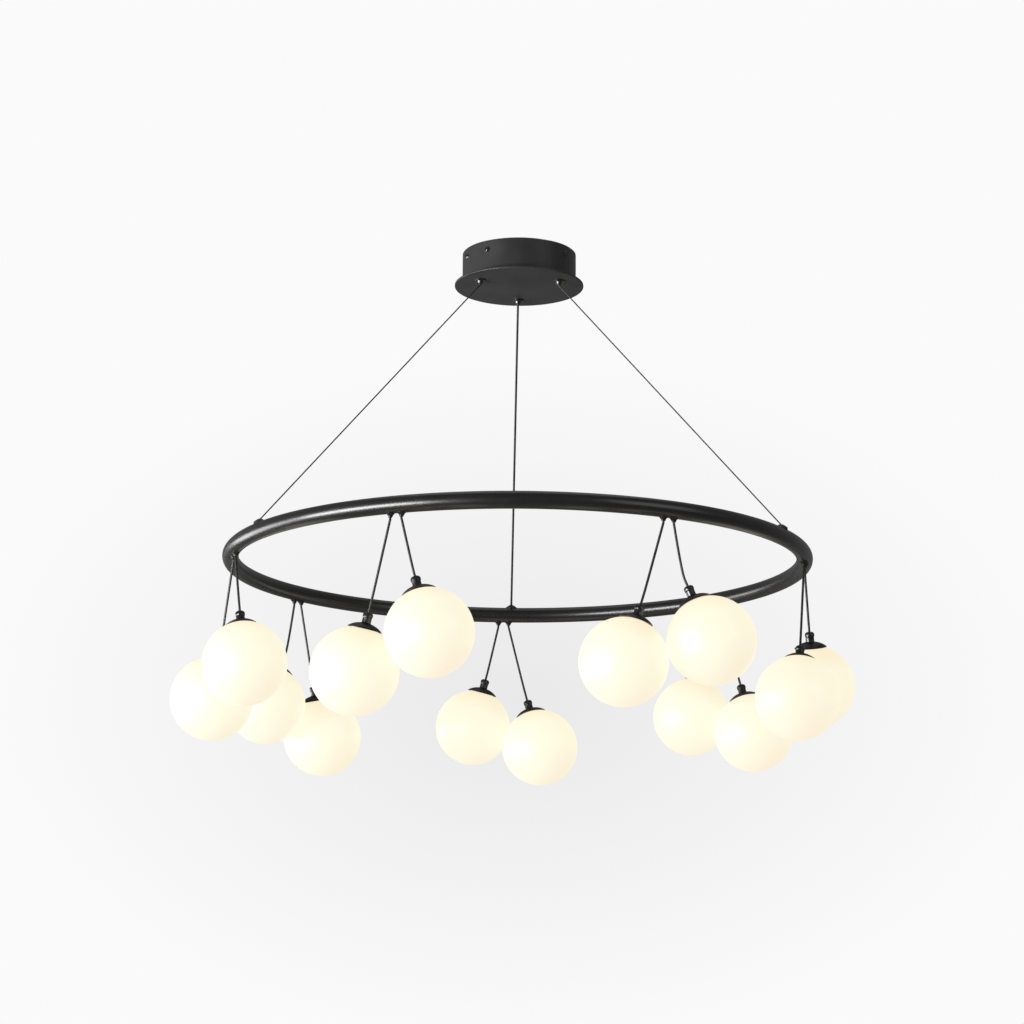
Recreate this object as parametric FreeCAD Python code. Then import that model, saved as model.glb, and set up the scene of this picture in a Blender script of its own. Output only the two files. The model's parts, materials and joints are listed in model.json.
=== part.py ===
"""Orb chandelier: a tube ring hung from a canopy, with seven pairs of opal globes on cords.

Millimetres, +Z up. The origin is on the ceiling, on the lamp's centre line.
Azimuths are in degrees, counter-clockwise from +X as seen from above.
"""

import FreeCAD, Part
import math
import os

Vector = FreeCAD.Vector
UP = Vector(0, 0, 1)
DOWN = Vector(0, 0, -1)

# ---- canopy --------------------------------------------------------------------------------------
CANOPY_HEIGHT = 51.0            # ceiling to the disc's underside
CANOPY_SHADOW_GAP = 1.0         # ceiling to the drum's upper edge
DRUM_DIAMETER = 171.0
DRUM_WALL = 1.2
DRUM_LIP = 6.0                  # inward lip welded to the disc
DISC_DIAMETER = 194.0
DISC_THICKNESS = 3.0
DISC_EDGE_RADIUS = 0.8

# ---- ceiling plate -------------------------------------------------------------------------------
PLATE_CLEARANCE = 0.3           # plate rim to the drum's wall
PLATE_THICKNESS = 2.0
TAB_WIDTH = 16.0
TAB_PAST_SCREW = 6.5            # tab's lower edge below the side screws' axes
CEILING_SLOT_SPACING = 100.0
CEILING_SLOT_LENGTH = 15.0
CEILING_SLOT_WIDTH = 5.5
SUPPLY_HOLE_DIAMETER = 20.0

# ---- side screws ---------------------------------------------------------------------------------
SIDE_SCREW_AZIMUTHS = (83.0, 203.0, 235.0, 323.0)
SIDE_SCREW_DEPTH = 14.5         # below the ceiling
SIDE_SCREW_DIAMETER = 4.0
SIDE_SCREW_LENGTH = 9.0
SIDE_SCREW_HEAD_DIAMETER = 9.0
SIDE_SCREW_HEAD_HEIGHT = 2.6
SCREW_HOLE_CLEARANCE = 0.4      # on diameter, in a plain hole
THREAD_CLEARANCE = 0.1          # on diameter, in a threaded hole
CROSS_LENGTH = 5.0
CROSS_WIDTH = 1.0
CROSS_DEPTH = 1.2

# ---- cable grippers ------------------------------------------------------------------------------
LINE_AZIMUTHS = {"feed": 90.0, "left": 210.0, "right": 330.0}
GRIPPER_WALL_DISTANCE = 16.3    # gripper's axis to the drum's inner wall
GRIPPER_FLANGE_DIAMETER = 17.0
GRIPPER_FLANGE_THICKNESS = 1.8
NOZZLE_LENGTH = 3.7
NOZZLE_TOP_DIAMETER = 10.0
NOZZLE_TIP_DIAMETER = 7.8
STEM_DIAMETER = 10.0
STEM_LENGTH = 12.0
PLUNGER_DIAMETER = 5.0
PLUNGER_PROUD = 2.2             # how far it stands out of the nozzle
PLUNGER_LENGTH = 8.5
PLUNGER_TRAVEL = 2.0
PLUNGER_END_CLEARANCE = 1.0     # left above the plunger when it is pushed in
RUNNING_CLEARANCE = 0.05        # on radius, between sliding pieces
NUT_SIDES = 6
NUT_ACROSS_FLATS = 14.0
NUT_HEIGHT = 4.0

# ---- suspension lines ----------------------------------------------------------------------------
STEEL_CABLE_DIAMETER = 2.0
CORD_DIAMETER = 3.4             # feed cord and pendant cords
CORD_CLEARANCE = 0.1            # on radius, in a hole that it passes

# ---- ring ----------------------------------------------------------------------------------------
SUSPENSION_DROP = 425.0         # disc underside to the ring's centre line
RING_RADIUS = 421.0             # of the tube's centre line
RING_TUBE_DIAMETER = 24.0
RING_WALL = 1.5
ANCHOR_DIAMETER = 18.5
ANCHOR_HEIGHT = 4.5             # above the tube
ANCHOR_TOP_DIAMETER = 6.0
ANCHOR_BULGE = (0.78, 0.72)     # middle of its rounded side: share of its radius, share of its height
ANCHOR_STEM_DIAMETER = 6.0
STEM_REACH_INSIDE = 2.5         # anchor and gland stems, past the tube's inner wall
WIRING_DIAMETER = 6.0
WIRING_OFFSET = -4.0            # from the tube's centre line

# ---- cord glands ---------------------------------------------------------------------------------
GLAND_SPACING = 16.4            # between the two of a pair
GLAND_TOP_DIAMETER = 11.4
GLAND_MOUTH_DIAMETER = 5.4
GLAND_HEIGHT = 5.2              # below the tube
GLAND_WAIST = (0.38, 0.55)      # middle of its flare: share of the way out from mouth to top, and up
GLAND_STEM_DIAMETER = 6.0
MOUTH_GAP = 0.1                 # gland mouth to the cord's ball end

# ---- pendants ------------------------------------------------------------------------------------
GLOBE_DIAMETER = 120.0
GLOBE_WALL = 2.5
GLOBE_GAP = 1.0                 # between the two globes of a pair
PAIR_PHASE = 91.7               # azimuth of pair 1
LONG_LENGTH = 204.5             # cord's pivot to globe's centre
SHORT_LENGTH = 167.5
EXIT_RUN = 8.0                  # cord hangs plumb this far below its gland
BENT_RUNS = (16.0, 27.0, 27.0, 17.0)    # runs of a cord that bends all along
BENT_TURN = 23.0                # from plumb to the last run, degrees

# One row per pair, as hung in the photograph: the turn of the pair about the vertical (degrees), how
# far the short pendant leans (None: its cord bends), and what the long and short cords add in length.
PAIRS = (
    (27.0, 44.0, 3.0, 1.0),
    (11.0, None, 2.0, 5.0),
    (-15.0, 40.0, -2.0, -4.0),
    (5.0, 45.0, 4.0, -3.0),
    (31.0, None, -8.0, 1.0),
    (9.0, 46.0, 1.0, 4.0),
    (-12.0, 43.0, 0.0, 0.0),
)

# ---- lamp holder, in heights above the globe's centre --------------------------------------------
NECK_TOP = 80.0
NECK_DIAMETER = 12.4
COLLAR_DIAMETER = 13.8
COLLAR_HEIGHT = 2.5
NECK_STUB_DIAMETER = 8.0
CAP_RIM_HEIGHT = 57.0
CAP_DIAMETER = 47.0
CAP_RISE = 8.5
CAP_BULGE = 0.72                # share of the rise that it has midway from rim to neck
CAP_WALL = 1.0
SLEEVE_DIAMETER = 27.4
SLEEVE_BOTTOM = 44.0
SLEEVE_CLEARANCE = 0.3          # on radius, in the globe's opening
SOCKET_DEPTH = 8.0
GLOBE_COLLAR_DEPTH = 9.0        # below the glass edge
GLOBE_COLLAR_WALL = 2.5
LAMP_DIAMETER = 16.0
LAMP_LENGTH = 48.0
GLOBE_TRAVEL = 75.0             # off the holder, past the lamp

# ---- terminal block and its lead -----------------------------------------------------------------
BLOCK_LENGTH = 36.0
BLOCK_WIDTH = 18.0
BLOCK_HEIGHT = 14.0
BLOCK_POLES = 3
BLOCK_EDGE_RADIUS = 1.0
TERMINAL_PITCH = 11.0
TERMINAL_SCREW_DIAMETER = 5.0
TERMINAL_SCREW_HEIGHT = 6.0
TERMINAL_RECESS = 1.5           # screw head below the block's top
LEAD_INSIDE_GRIPPER = 5.0
LEAD_END_OFFSET = 14.0          # from the centre line
LEAD_BEND_DEPTH = 22.0          # below the ceiling, where it turns over at either end
LEAD_CROSSING_DEPTH = 9.0       # where it crosses from the gripper to the block
LEAD_SHOULDER = 14.0            # from either end to where it is level

# ---- what follows from them ----------------------------------------------------------------------
DISC_TOP = DISC_THICKNESS - CANOPY_HEIGHT
RING_Z = -CANOPY_HEIGHT - SUSPENSION_DROP
PLATE_RADIUS = DRUM_DIAMETER / 2 - DRUM_WALL - PLATE_CLEARANCE
TAB_HEIGHT = SIDE_SCREW_DEPTH + TAB_PAST_SCREW
GRIPPER_CIRCLE_RADIUS = DRUM_DIAMETER / 2 - DRUM_WALL - GRIPPER_WALL_DISTANCE
NOZZLE_TIP_Z = -CANOPY_HEIGHT - GRIPPER_FLANGE_THICKNESS - NOZZLE_LENGTH
PLUNGER_TIP_Z = NOZZLE_TIP_Z - PLUNGER_PROUD
ANCHOR_TOP_Z = RING_Z + RING_TUBE_DIAMETER / 2 + ANCHOR_HEIGHT
MOUTH_Z = RING_Z - RING_TUBE_DIAMETER / 2 - GLAND_HEIGHT
PIVOT_Z = MOUTH_Z - MOUTH_GAP - CORD_DIAMETER / 2
CAP_TOP = CAP_RIM_HEIGHT + CAP_RISE
ARC_SHARE = 0.45                # share of the shorter run that an arc takes
HALVINGS = 50                   # steps in finding a long pendant's lean
WIDEST_LEAN = 0.6               # of its length, where that search starts


# ---- helpers -------------------------------------------------------------------------------------
def polar(radius, azimuth, z):
    angle = math.radians(azimuth)
    return Vector(radius * math.cos(angle), radius * math.sin(angle), z)


def cylinder(diameter, z_low, z_high, x=0.0, y=0.0):
    return Part.makeCylinder(diameter / 2, z_high - z_low, Vector(x, y, z_low))


def revolved(edges):
    """Turn a closed profile, given as (radius, z) edges, about the vertical axis."""
    return Part.Face(Part.Wire(Part.__sortEdges__(edges))).revolve(Vector(0, 0, 0), UP, 360)


def line(start, end):
    return Part.LineSegment(Vector(start[0], 0, start[1]), Vector(end[0], 0, end[1])).toShape()


def arc(start, middle, end):
    points = [Vector(p[0], 0, p[1]) for p in (start, middle, end)]
    return Part.Arc(*points).toShape()


def polygon(*points):
    """Edges of a closed outline with straight sides."""
    return [line(a, b) for a, b in zip(points, points[1:] + points[:1])]


def dome_arc(radius, rise, base_z, from_radius, to_radius):
    """Arc of a dome that rises by rise over a rim of the given radius."""
    sphere = (radius ** 2 + rise ** 2) / (2 * rise)
    centre_z = base_z + rise - sphere

    def on_dome(r):
        return (r, centre_z + math.sqrt(sphere ** 2 - r ** 2))

    return arc(on_dome(from_radius), on_dome((from_radius + to_radius) / 2), on_dome(to_radius))


def placed(shape, origin, along=UP):
    """A copy with its own +Z turned to along and its origin moved to origin."""
    copy = shape.copy()
    copy.Placement = FreeCAD.Placement(origin, FreeCAD.Rotation(UP, along))
    return copy


def tube_along(points, diameter):
    """Tube through straight runs joined by tangent arcs, with its length and bend radii."""
    edges = []
    radii = []
    cursor = points[0]
    for before, corner, after in zip(points, points[1:], points[2:]):
        into = (corner - before).normalize()
        out = (after - corner).normalize()
        half_turn = into.getAngle(out) / 2
        cut = ARC_SHARE * min((corner - before).Length, (after - corner).Length)
        radius = cut / math.tan(half_turn)
        inward = (out - into).normalize()
        start = corner - into * cut
        end = corner + out * cut
        middle = corner + inward * (radius / math.cos(half_turn) - radius)
        edges.append(Part.LineSegment(cursor, start).toShape())
        edges.append(Part.Arc(start, middle, end).toShape())
        radii.append(radius)
        cursor = end
    edges.append(Part.LineSegment(cursor, points[-1]).toShape())
    path = Part.Wire(edges)
    section = Part.Wire([Part.makeCircle(diameter / 2, points[0], points[1] - points[0])])
    return path.makePipeShell([section], True, False), path.Length, radii


def check_tube(name, solid, length, diameter, radii):
    """Print a tube's volume against its section times its length, and its bend radii."""
    expected = math.pi * diameter ** 2 / 4 * length
    bends = " ".join(f"{radius:.0f}" for radius in radii) or "none"
    print(f"{name}: length {length:.1f}, volume ratio {solid.Volume / expected:.5f}, bend radii {bends}")


# ---- canopy --------------------------------------------------------------------------------------
def stadium(length, width, z_low, z_high, x):
    """Slot cutter, round-ended along X."""
    half = (length - width) / 2
    middle = Part.makeBox(2 * half, width, z_high - z_low, Vector(x - half, -width / 2, z_low))
    ends = [cylinder(width, z_low, z_high, x + side * half) for side in (-1, 1)]
    return middle.fuse(ends)


def side_screw_hole(azimuth, diameter):
    origin = Vector(0, 0, -SIDE_SCREW_DEPTH)
    return Part.makeCylinder(diameter / 2, DRUM_DIAMETER, origin, polar(1, azimuth, 0))


def ceiling_plate():
    plate = cylinder(2 * PLATE_RADIUS, -PLATE_THICKNESS, 0)
    rim = cylinder(2 * PLATE_RADIUS, -TAB_HEIGHT, 0)
    rim = rim.cut(cylinder(2 * (PLATE_RADIUS - PLATE_THICKNESS), -TAB_HEIGHT, 0))
    for azimuth in SIDE_SCREW_AZIMUTHS:
        tab = Part.makeBox(DRUM_DIAMETER, TAB_WIDTH, TAB_HEIGHT, Vector(0, -TAB_WIDTH / 2, -TAB_HEIGHT))
        tab.rotate(Vector(0, 0, 0), UP, azimuth)
        plate = plate.fuse(rim.common(tab))
    plate = plate.cut(cylinder(SUPPLY_HOLE_DIAMETER, -PLATE_THICKNESS, 0))
    for side in (-1, 1):
        x = side * CEILING_SLOT_SPACING / 2
        plate = plate.cut(stadium(CEILING_SLOT_LENGTH, CEILING_SLOT_WIDTH, -PLATE_THICKNESS, 0, x))
    for azimuth in SIDE_SCREW_AZIMUTHS:
        plate = plate.cut(side_screw_hole(azimuth, SIDE_SCREW_DIAMETER + THREAD_CLEARANCE))
    return plate.removeSplitter()


def canopy_drum():
    outer = DRUM_DIAMETER / 2
    inner = outer - DRUM_WALL
    drum = revolved(polygon(
        (outer, DISC_TOP), (outer, -CANOPY_SHADOW_GAP), (inner, -CANOPY_SHADOW_GAP),
        (inner, DISC_TOP + DRUM_WALL), (inner - DRUM_LIP, DISC_TOP + DRUM_WALL), (inner - DRUM_LIP, DISC_TOP),
    ))
    for azimuth in SIDE_SCREW_AZIMUTHS:
        drum = drum.cut(side_screw_hole(azimuth, SIDE_SCREW_DIAMETER + SCREW_HOLE_CLEARANCE))
    return drum


def canopy_disc():
    disc = cylinder(DISC_DIAMETER, -CANOPY_HEIGHT, DISC_TOP)
    disc = disc.makeFillet(DISC_EDGE_RADIUS, disc.Edges)
    for azimuth in LINE_AZIMUTHS.values():
        centre = polar(GRIPPER_CIRCLE_RADIUS, azimuth, 0)
        bore = STEM_DIAMETER + SCREW_HOLE_CLEARANCE
        disc = disc.cut(cylinder(bore, -CANOPY_HEIGHT, DISC_TOP, centre.x, centre.y))
    return disc


def side_screw():
    """Domed cross-head screw, its head standing on z = 0."""
    head_radius = SIDE_SCREW_HEAD_DIAMETER / 2
    shank = SIDE_SCREW_DIAMETER / 2
    screw = revolved([
        dome_arc(head_radius, SIDE_SCREW_HEAD_HEIGHT, 0, 0, head_radius),
        line((head_radius, 0), (shank, 0)),
        line((shank, 0), (shank, -SIDE_SCREW_LENGTH)),
        line((shank, -SIDE_SCREW_LENGTH), (0, -SIDE_SCREW_LENGTH)),
        line((0, -SIDE_SCREW_LENGTH), (0, SIDE_SCREW_HEAD_HEIGHT)),
    ])
    floor = SIDE_SCREW_HEAD_HEIGHT - CROSS_DEPTH
    for length, width in ((CROSS_LENGTH, CROSS_WIDTH), (CROSS_WIDTH, CROSS_LENGTH)):
        corner = Vector(-length / 2, -width / 2, floor)
        screw = screw.cut(Part.makeBox(length, width, SIDE_SCREW_HEAD_HEIGHT, corner))
    return screw


def side_screws():
    screw = side_screw()
    return Part.makeCompound([
        placed(screw, polar(DRUM_DIAMETER / 2, azimuth, -SIDE_SCREW_DEPTH), polar(1, azimuth, 0))
        for azimuth in SIDE_SCREW_AZIMUTHS
    ])


def terminal_block():
    corner = Vector(-BLOCK_LENGTH / 2, -BLOCK_WIDTH / 2 + LEAD_END_OFFSET, DISC_TOP)
    block = Part.makeBox(BLOCK_LENGTH, BLOCK_WIDTH, BLOCK_HEIGHT, corner)
    upright = [edge for edge in block.Edges if edge.BoundBox.ZLength > BLOCK_HEIGHT / 2]
    block = block.makeFillet(BLOCK_EDGE_RADIUS, upright)
    top = DISC_TOP + BLOCK_HEIGHT
    y = corner.y + BLOCK_WIDTH / 4
    screws = []
    for pole in range(BLOCK_POLES):
        x = (pole - (BLOCK_POLES - 1) / 2) * TERMINAL_PITCH
        floor = top - TERMINAL_RECESS - TERMINAL_SCREW_HEIGHT
        hole = TERMINAL_SCREW_DIAMETER + THREAD_CLEARANCE
        block = block.cut(cylinder(hole, floor, top, x, y))
        screws.append(cylinder(TERMINAL_SCREW_DIAMETER, floor, top - TERMINAL_RECESS, x, y))
    return Part.makeCompound([block] + screws)


def canopy_lead():
    """Lead that rises out of the feed gripper, crosses over and comes down on the terminal block."""
    gripper_top = STEM_LENGTH - CANOPY_HEIGHT
    route = [
        Vector(0, GRIPPER_CIRCLE_RADIUS, gripper_top - LEAD_INSIDE_GRIPPER),
        Vector(0, GRIPPER_CIRCLE_RADIUS, -LEAD_BEND_DEPTH),
        Vector(0, GRIPPER_CIRCLE_RADIUS - LEAD_SHOULDER, -LEAD_CROSSING_DEPTH),
        Vector(0, LEAD_END_OFFSET + LEAD_SHOULDER, -LEAD_CROSSING_DEPTH),
        Vector(0, LEAD_END_OFFSET, -LEAD_BEND_DEPTH),
        Vector(0, LEAD_END_OFFSET, DISC_TOP + BLOCK_HEIGHT),
    ]
    solid, length, radii = tube_along(route, CORD_DIAMETER)
    check_tube("canopy_lead", solid, length, CORD_DIAMETER, radii)
    return solid


# ---- grippers ------------------------------------------------------------------------------------
def line_bore(name):
    """Hole that a suspension line passes through."""
    line_diameter = CORD_DIAMETER if name == "feed" else STEEL_CABLE_DIAMETER
    return line_diameter + 2 * CORD_CLEARANCE


def gripper_body(name):
    """Flange, nozzle and threaded stem, turned about its own axis with heights in the lamp's frame."""
    seat = -CANOPY_HEIGHT
    flange = seat - GRIPPER_FLANGE_THICKNESS
    stem_top = seat + STEM_LENGTH
    body = revolved(polygon(
        (0, NOZZLE_TIP_Z), (NOZZLE_TIP_DIAMETER / 2, NOZZLE_TIP_Z), (NOZZLE_TOP_DIAMETER / 2, flange),
        (GRIPPER_FLANGE_DIAMETER / 2, flange), (GRIPPER_FLANGE_DIAMETER / 2, seat),
        (STEM_DIAMETER / 2, seat), (STEM_DIAMETER / 2, stem_top), (0, stem_top),
    ))
    chamber_top = PLUNGER_TIP_Z + PLUNGER_LENGTH + PLUNGER_TRAVEL + PLUNGER_END_CLEARANCE
    chamber = PLUNGER_DIAMETER + 2 * RUNNING_CLEARANCE
    body = body.cut(cylinder(chamber, NOZZLE_TIP_Z, chamber_top))
    return body.cut(cylinder(line_bore(name), chamber_top, stem_top))


def gripper_plunger(name):
    tip = PLUNGER_TIP_Z
    plunger = cylinder(PLUNGER_DIAMETER, tip, tip + PLUNGER_LENGTH)
    plunger = plunger.cut(cylinder(line_bore(name), tip, tip + PLUNGER_LENGTH))
    return placed(plunger, polar(GRIPPER_CIRCLE_RADIUS, LINE_AZIMUTHS[name], 0))


def gripper_nut():
    corner_radius = NUT_ACROSS_FLATS / 2 / math.cos(math.pi / NUT_SIDES)
    corners = [polar(corner_radius, 360 / NUT_SIDES * i, DISC_TOP) for i in range(NUT_SIDES + 1)]
    nut = Part.Face(Part.makePolygon(corners)).extrude(UP * NUT_HEIGHT)
    return nut.cut(cylinder(STEM_DIAMETER + THREAD_CLEARANCE, DISC_TOP, DISC_TOP + NUT_HEIGHT))


def at_grippers(make):
    """One solid per suspension line, each placed on the gripper circle."""
    return Part.makeCompound([
        placed(make(name), polar(GRIPPER_CIRCLE_RADIUS, azimuth, 0)) for name, azimuth in LINE_AZIMUTHS.items()
    ])


def suspension_line(name, diameter):
    """Taut straight line from its plunger's tip to its anchor's top, with level ends."""
    azimuth = LINE_AZIMUTHS[name]
    start = polar(GRIPPER_CIRCLE_RADIUS, azimuth, PLUNGER_TIP_Z)
    end = polar(RING_RADIUS, azimuth, ANCHOR_TOP_Z)
    along = (end - start).normalize()
    spare = 2 * diameter
    long_tube = Part.makeCylinder(
        diameter / 2, (end - start).Length + 2 * spare, start - along * spare, along)
    span = 4 * RING_RADIUS
    slab = Part.makeBox(span, span, start.z - end.z, Vector(-span / 2, -span / 2, end.z))
    solid = long_tube.common(slab)
    check_tube(name + " line", solid, (end - start).Length, diameter, [])
    return solid


# ---- ring ----------------------------------------------------------------------------------------
def ring_outer():
    return Part.makeTorus(RING_RADIUS, RING_TUBE_DIAMETER / 2, Vector(0, 0, RING_Z))


def ring_tube():
    inner = Part.makeTorus(RING_RADIUS, RING_TUBE_DIAMETER / 2 - RING_WALL, Vector(0, 0, RING_Z))
    tube = ring_outer().cut(inner)
    for azimuth in LINE_AZIMUTHS.values():
        centre = polar(RING_RADIUS, azimuth, 0)
        hole = ANCHOR_STEM_DIAMETER + SCREW_HOLE_CLEARANCE
        tube = tube.cut(cylinder(hole, RING_Z, RING_Z + RING_TUBE_DIAMETER, centre.x, centre.y))
    for centre in gland_centres():
        hole = GLAND_STEM_DIAMETER + SCREW_HOLE_CLEARANCE
        tube = tube.cut(cylinder(hole, RING_Z - RING_TUBE_DIAMETER, RING_Z, centre.x, centre.y))
    return tube


def stem_inner_end():
    """How near to the tube's centre line an anchor's or gland's stem reaches."""
    return RING_TUBE_DIAMETER / 2 - RING_WALL - STEM_REACH_INSIDE


def cable_anchor(name):
    """Low dome seated on the tube, with a stem through its wall."""
    radius = ANCHOR_DIAMETER / 2
    top_radius = ANCHOR_TOP_DIAMETER / 2
    foot = RING_Z + stem_inner_end()
    shoulder = ANCHOR_TOP_Z - ANCHOR_HEIGHT
    bulge_out, bulge_up = ANCHOR_BULGE
    dome = revolved([
        line((0, foot), (radius, foot)),
        line((radius, foot), (radius, shoulder)),
        arc((radius, shoulder), (bulge_out * radius, shoulder + bulge_up * ANCHOR_HEIGHT),
            (top_radius, ANCHOR_TOP_Z)),
        line((top_radius, ANCHOR_TOP_Z), (0, ANCHOR_TOP_Z)),
        line((0, ANCHOR_TOP_Z), (0, foot)),
    ])
    azimuth = LINE_AZIMUTHS[name]
    centre = polar(RING_RADIUS, azimuth, 0)
    anchor = placed(dome, centre).cut(ring_outer())
    stem = cylinder(ANCHOR_STEM_DIAMETER, foot, ANCHOR_TOP_Z - ANCHOR_HEIGHT / 2, centre.x, centre.y)
    anchor = anchor.fuse(stem)
    if name == "feed":
        anchor = anchor.cut(cylinder(line_bore(name), foot, ANCHOR_TOP_Z, centre.x, centre.y))
    return anchor


def gland_centres():
    """Centres of the glands in plan: each pair's long one, then its short one."""
    return [gland_centre(pair, side) for pair in range(len(PAIRS)) for side in (-1, 1)]


def pair_azimuth(pair):
    return PAIR_PHASE + 360.0 / len(PAIRS) * pair


def gland_centre(pair, side):
    """Long pendants are on the clockwise side (-1) of their pair, short ones on the other (1)."""
    offset = math.degrees(GLAND_SPACING / 2 / RING_RADIUS)
    return polar(RING_RADIUS, pair_azimuth(pair) + side * offset, 0)


def cord_glands():
    """Small flared cones seated under the tube, each with a stem through its wall."""
    top = RING_Z - stem_inner_end()
    shoulder = RING_Z - RING_TUBE_DIAMETER / 2
    top_radius = GLAND_TOP_DIAMETER / 2
    mouth_radius = GLAND_MOUTH_DIAMETER / 2
    waist_out, waist_up = GLAND_WAIST
    waist = (mouth_radius + waist_out * (top_radius - mouth_radius), MOUTH_Z + waist_up * GLAND_HEIGHT)
    cone = revolved([
        line((0, top), (top_radius, top)),
        line((top_radius, top), (top_radius, shoulder)),
        arc((top_radius, shoulder), waist, (mouth_radius, MOUTH_Z)),
        line((mouth_radius, MOUTH_Z), (0, MOUTH_Z)),
        line((0, MOUTH_Z), (0, top)),
    ])
    bore = CORD_DIAMETER + 2 * CORD_CLEARANCE
    outer = ring_outer()
    glands = []
    for centre in gland_centres():
        gland = placed(cone, centre).cut(outer)
        stem_foot = MOUTH_Z + GLAND_HEIGHT / 2
        gland = gland.fuse(cylinder(GLAND_STEM_DIAMETER, stem_foot, top, centre.x, centre.y))
        glands.append(gland.cut(cylinder(bore, MOUTH_Z, top, centre.x, centre.y)))
    return Part.makeCompound(glands)


def ring_wiring():
    """Bundle of conductors round the inside of the tube, with a tail down each gland and up the feed anchor."""
    level = RING_Z + WIRING_OFFSET
    wiring = Part.makeTorus(RING_RADIUS, WIRING_DIAMETER / 2, Vector(0, 0, level))
    tails = [cylinder(CORD_DIAMETER, MOUTH_Z, level, c.x, c.y) for c in gland_centres()]
    feed = polar(RING_RADIUS, LINE_AZIMUTHS["feed"], 0)
    tails.append(cylinder(CORD_DIAMETER, level, ANCHOR_TOP_Z, feed.x, feed.y))
    return wiring.fuse(tails)


# ---- pendants ------------------------------------------------------------------------------------
def bent_route(extra):
    """Route of a cord that bends all along, as (lean, drop) points from its pivot to its neck."""
    lean, drop = 0.0, 0.0
    route = [(lean, drop)]
    last = len(BENT_RUNS) - 1
    for index, run in enumerate(BENT_RUNS):
        angle = math.radians(BENT_TURN * index / last)
        length = run + extra if index == last else run
        lean += length * math.sin(angle)
        drop += length * math.cos(angle)
        route.append((lean, drop))
    return route


def straight_route(lean, length):
    """Route of a cord that hangs straight below a short plumb run, as (lean, drop) points."""
    centre_drop = math.sqrt(length ** 2 - lean ** 2)
    rest = math.hypot(lean, centre_drop - EXIT_RUN)
    share = (rest - NECK_TOP) / rest
    return [(0.0, 0.0), (0.0, EXIT_RUN), (lean * share, EXIT_RUN + (centre_drop - EXIT_RUN) * share)]


def centre_of(route):
    """Globe centre as (lean, drop): straight on from the route's last run."""
    (lean_a, drop_a), (lean_b, drop_b) = route[-2:]
    run = math.hypot(lean_b - lean_a, drop_b - drop_a)
    return (lean_b + NECK_TOP * (lean_b - lean_a) / run, drop_b + NECK_TOP * (drop_b - drop_a) / run)


def long_lean(twist, short_centre, length):
    """Lean of the long pendant that leaves GLOBE_GAP between the pair's globes, found by halving."""
    short_lean, short_drop = short_centre
    along = GLAND_SPACING * math.cos(math.radians(twist))
    across = GLAND_SPACING * math.sin(math.radians(twist))
    low, high = 0.0, WIDEST_LEAN * length
    for _ in range(HALVINGS):
        lean = (low + high) / 2
        drop = math.sqrt(length ** 2 - lean ** 2)
        distance = math.sqrt((along + lean + short_lean) ** 2 + across ** 2 + (drop - short_drop) ** 2)
        if distance < GLOBE_DIAMETER + GLOBE_GAP:
            low = lean
        else:
            high = lean
    return high


def pendants():
    """Every pendant: its node suffix, its gland's pivot, its lean direction and its (lean, drop) route."""
    found = []
    for pair, (twist, short_lean, long_extra, short_extra) in enumerate(PAIRS):
        if short_lean is None:
            short_route = bent_route(short_extra)
        else:
            short_route = straight_route(short_lean, SHORT_LENGTH + short_extra)
        length = LONG_LENGTH + long_extra
        long_route = straight_route(long_lean(twist, centre_of(short_route), length), length)
        towards = polar(1, pair_azimuth(pair) + 90 - twist, 0)
        for size, side, route in (("long", -1, long_route), ("short", 1, short_route)):
            pivot = gland_centre(pair, side) + UP * PIVOT_Z
            found.append((f"{pair + 1}_{size}", pivot, towards * side, route))
    return found


def in_space(pivot, direction, point):
    lean, drop = point
    return pivot + direction * lean + DOWN * drop


def pendant_cord(name, pivot, direction, route):
    """Cord with a ball end at its pivot, running on into the neck as far as the lamp holder."""
    points = [in_space(pivot, direction, point) for point in route]
    last_run = (points[-1] - points[-2]).normalize()
    points[-1] = points[-1] + last_run * (NECK_TOP - CAP_TOP + CAP_WALL + CAP_WALL)
    solid, length, radii = tube_along(points, CORD_DIAMETER)
    check_tube("cord_" + name, solid, length, CORD_DIAMETER, radii)
    return solid.fuse(Part.makeSphere(CORD_DIAMETER / 2, pivot))


def neck():
    collar_low = NECK_TOP - COLLAR_HEIGHT
    stub_low = CAP_TOP - 2 * CAP_WALL
    bore = CORD_DIAMETER / 2 + CORD_CLEARANCE
    return revolved(polygon(
        (bore, stub_low), (NECK_STUB_DIAMETER / 2, stub_low), (NECK_STUB_DIAMETER / 2, CAP_TOP),
        (NECK_DIAMETER / 2, CAP_TOP), (NECK_DIAMETER / 2, collar_low), (COLLAR_DIAMETER / 2, collar_low),
        (COLLAR_DIAMETER / 2, NECK_TOP), (bore, NECK_TOP),
    ))


def cap():
    """Shallow dome over the glass, with a flat seat for the neck."""
    rim = CAP_DIAMETER / 2
    seat = NECK_DIAMETER / 2
    hole = (NECK_STUB_DIAMETER + SCREW_HOLE_CLEARANCE) / 2
    middle = (rim + seat) / 2
    bulge = CAP_RIM_HEIGHT + CAP_BULGE * CAP_RISE
    inner_rim = rim - CAP_WALL
    under = CAP_TOP - CAP_WALL
    return revolved([
        line((hole, under), (hole, CAP_TOP)),
        line((hole, CAP_TOP), (seat, CAP_TOP)),
        arc((seat, CAP_TOP), (middle, bulge), (rim, CAP_RIM_HEIGHT)),
        line((rim, CAP_RIM_HEIGHT), (inner_rim, CAP_RIM_HEIGHT)),
        arc((inner_rim, CAP_RIM_HEIGHT), (middle - CAP_WALL / 2, bulge - CAP_WALL), (seat, under)),
        line((seat, under), (hole, under)),
    ])


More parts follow.
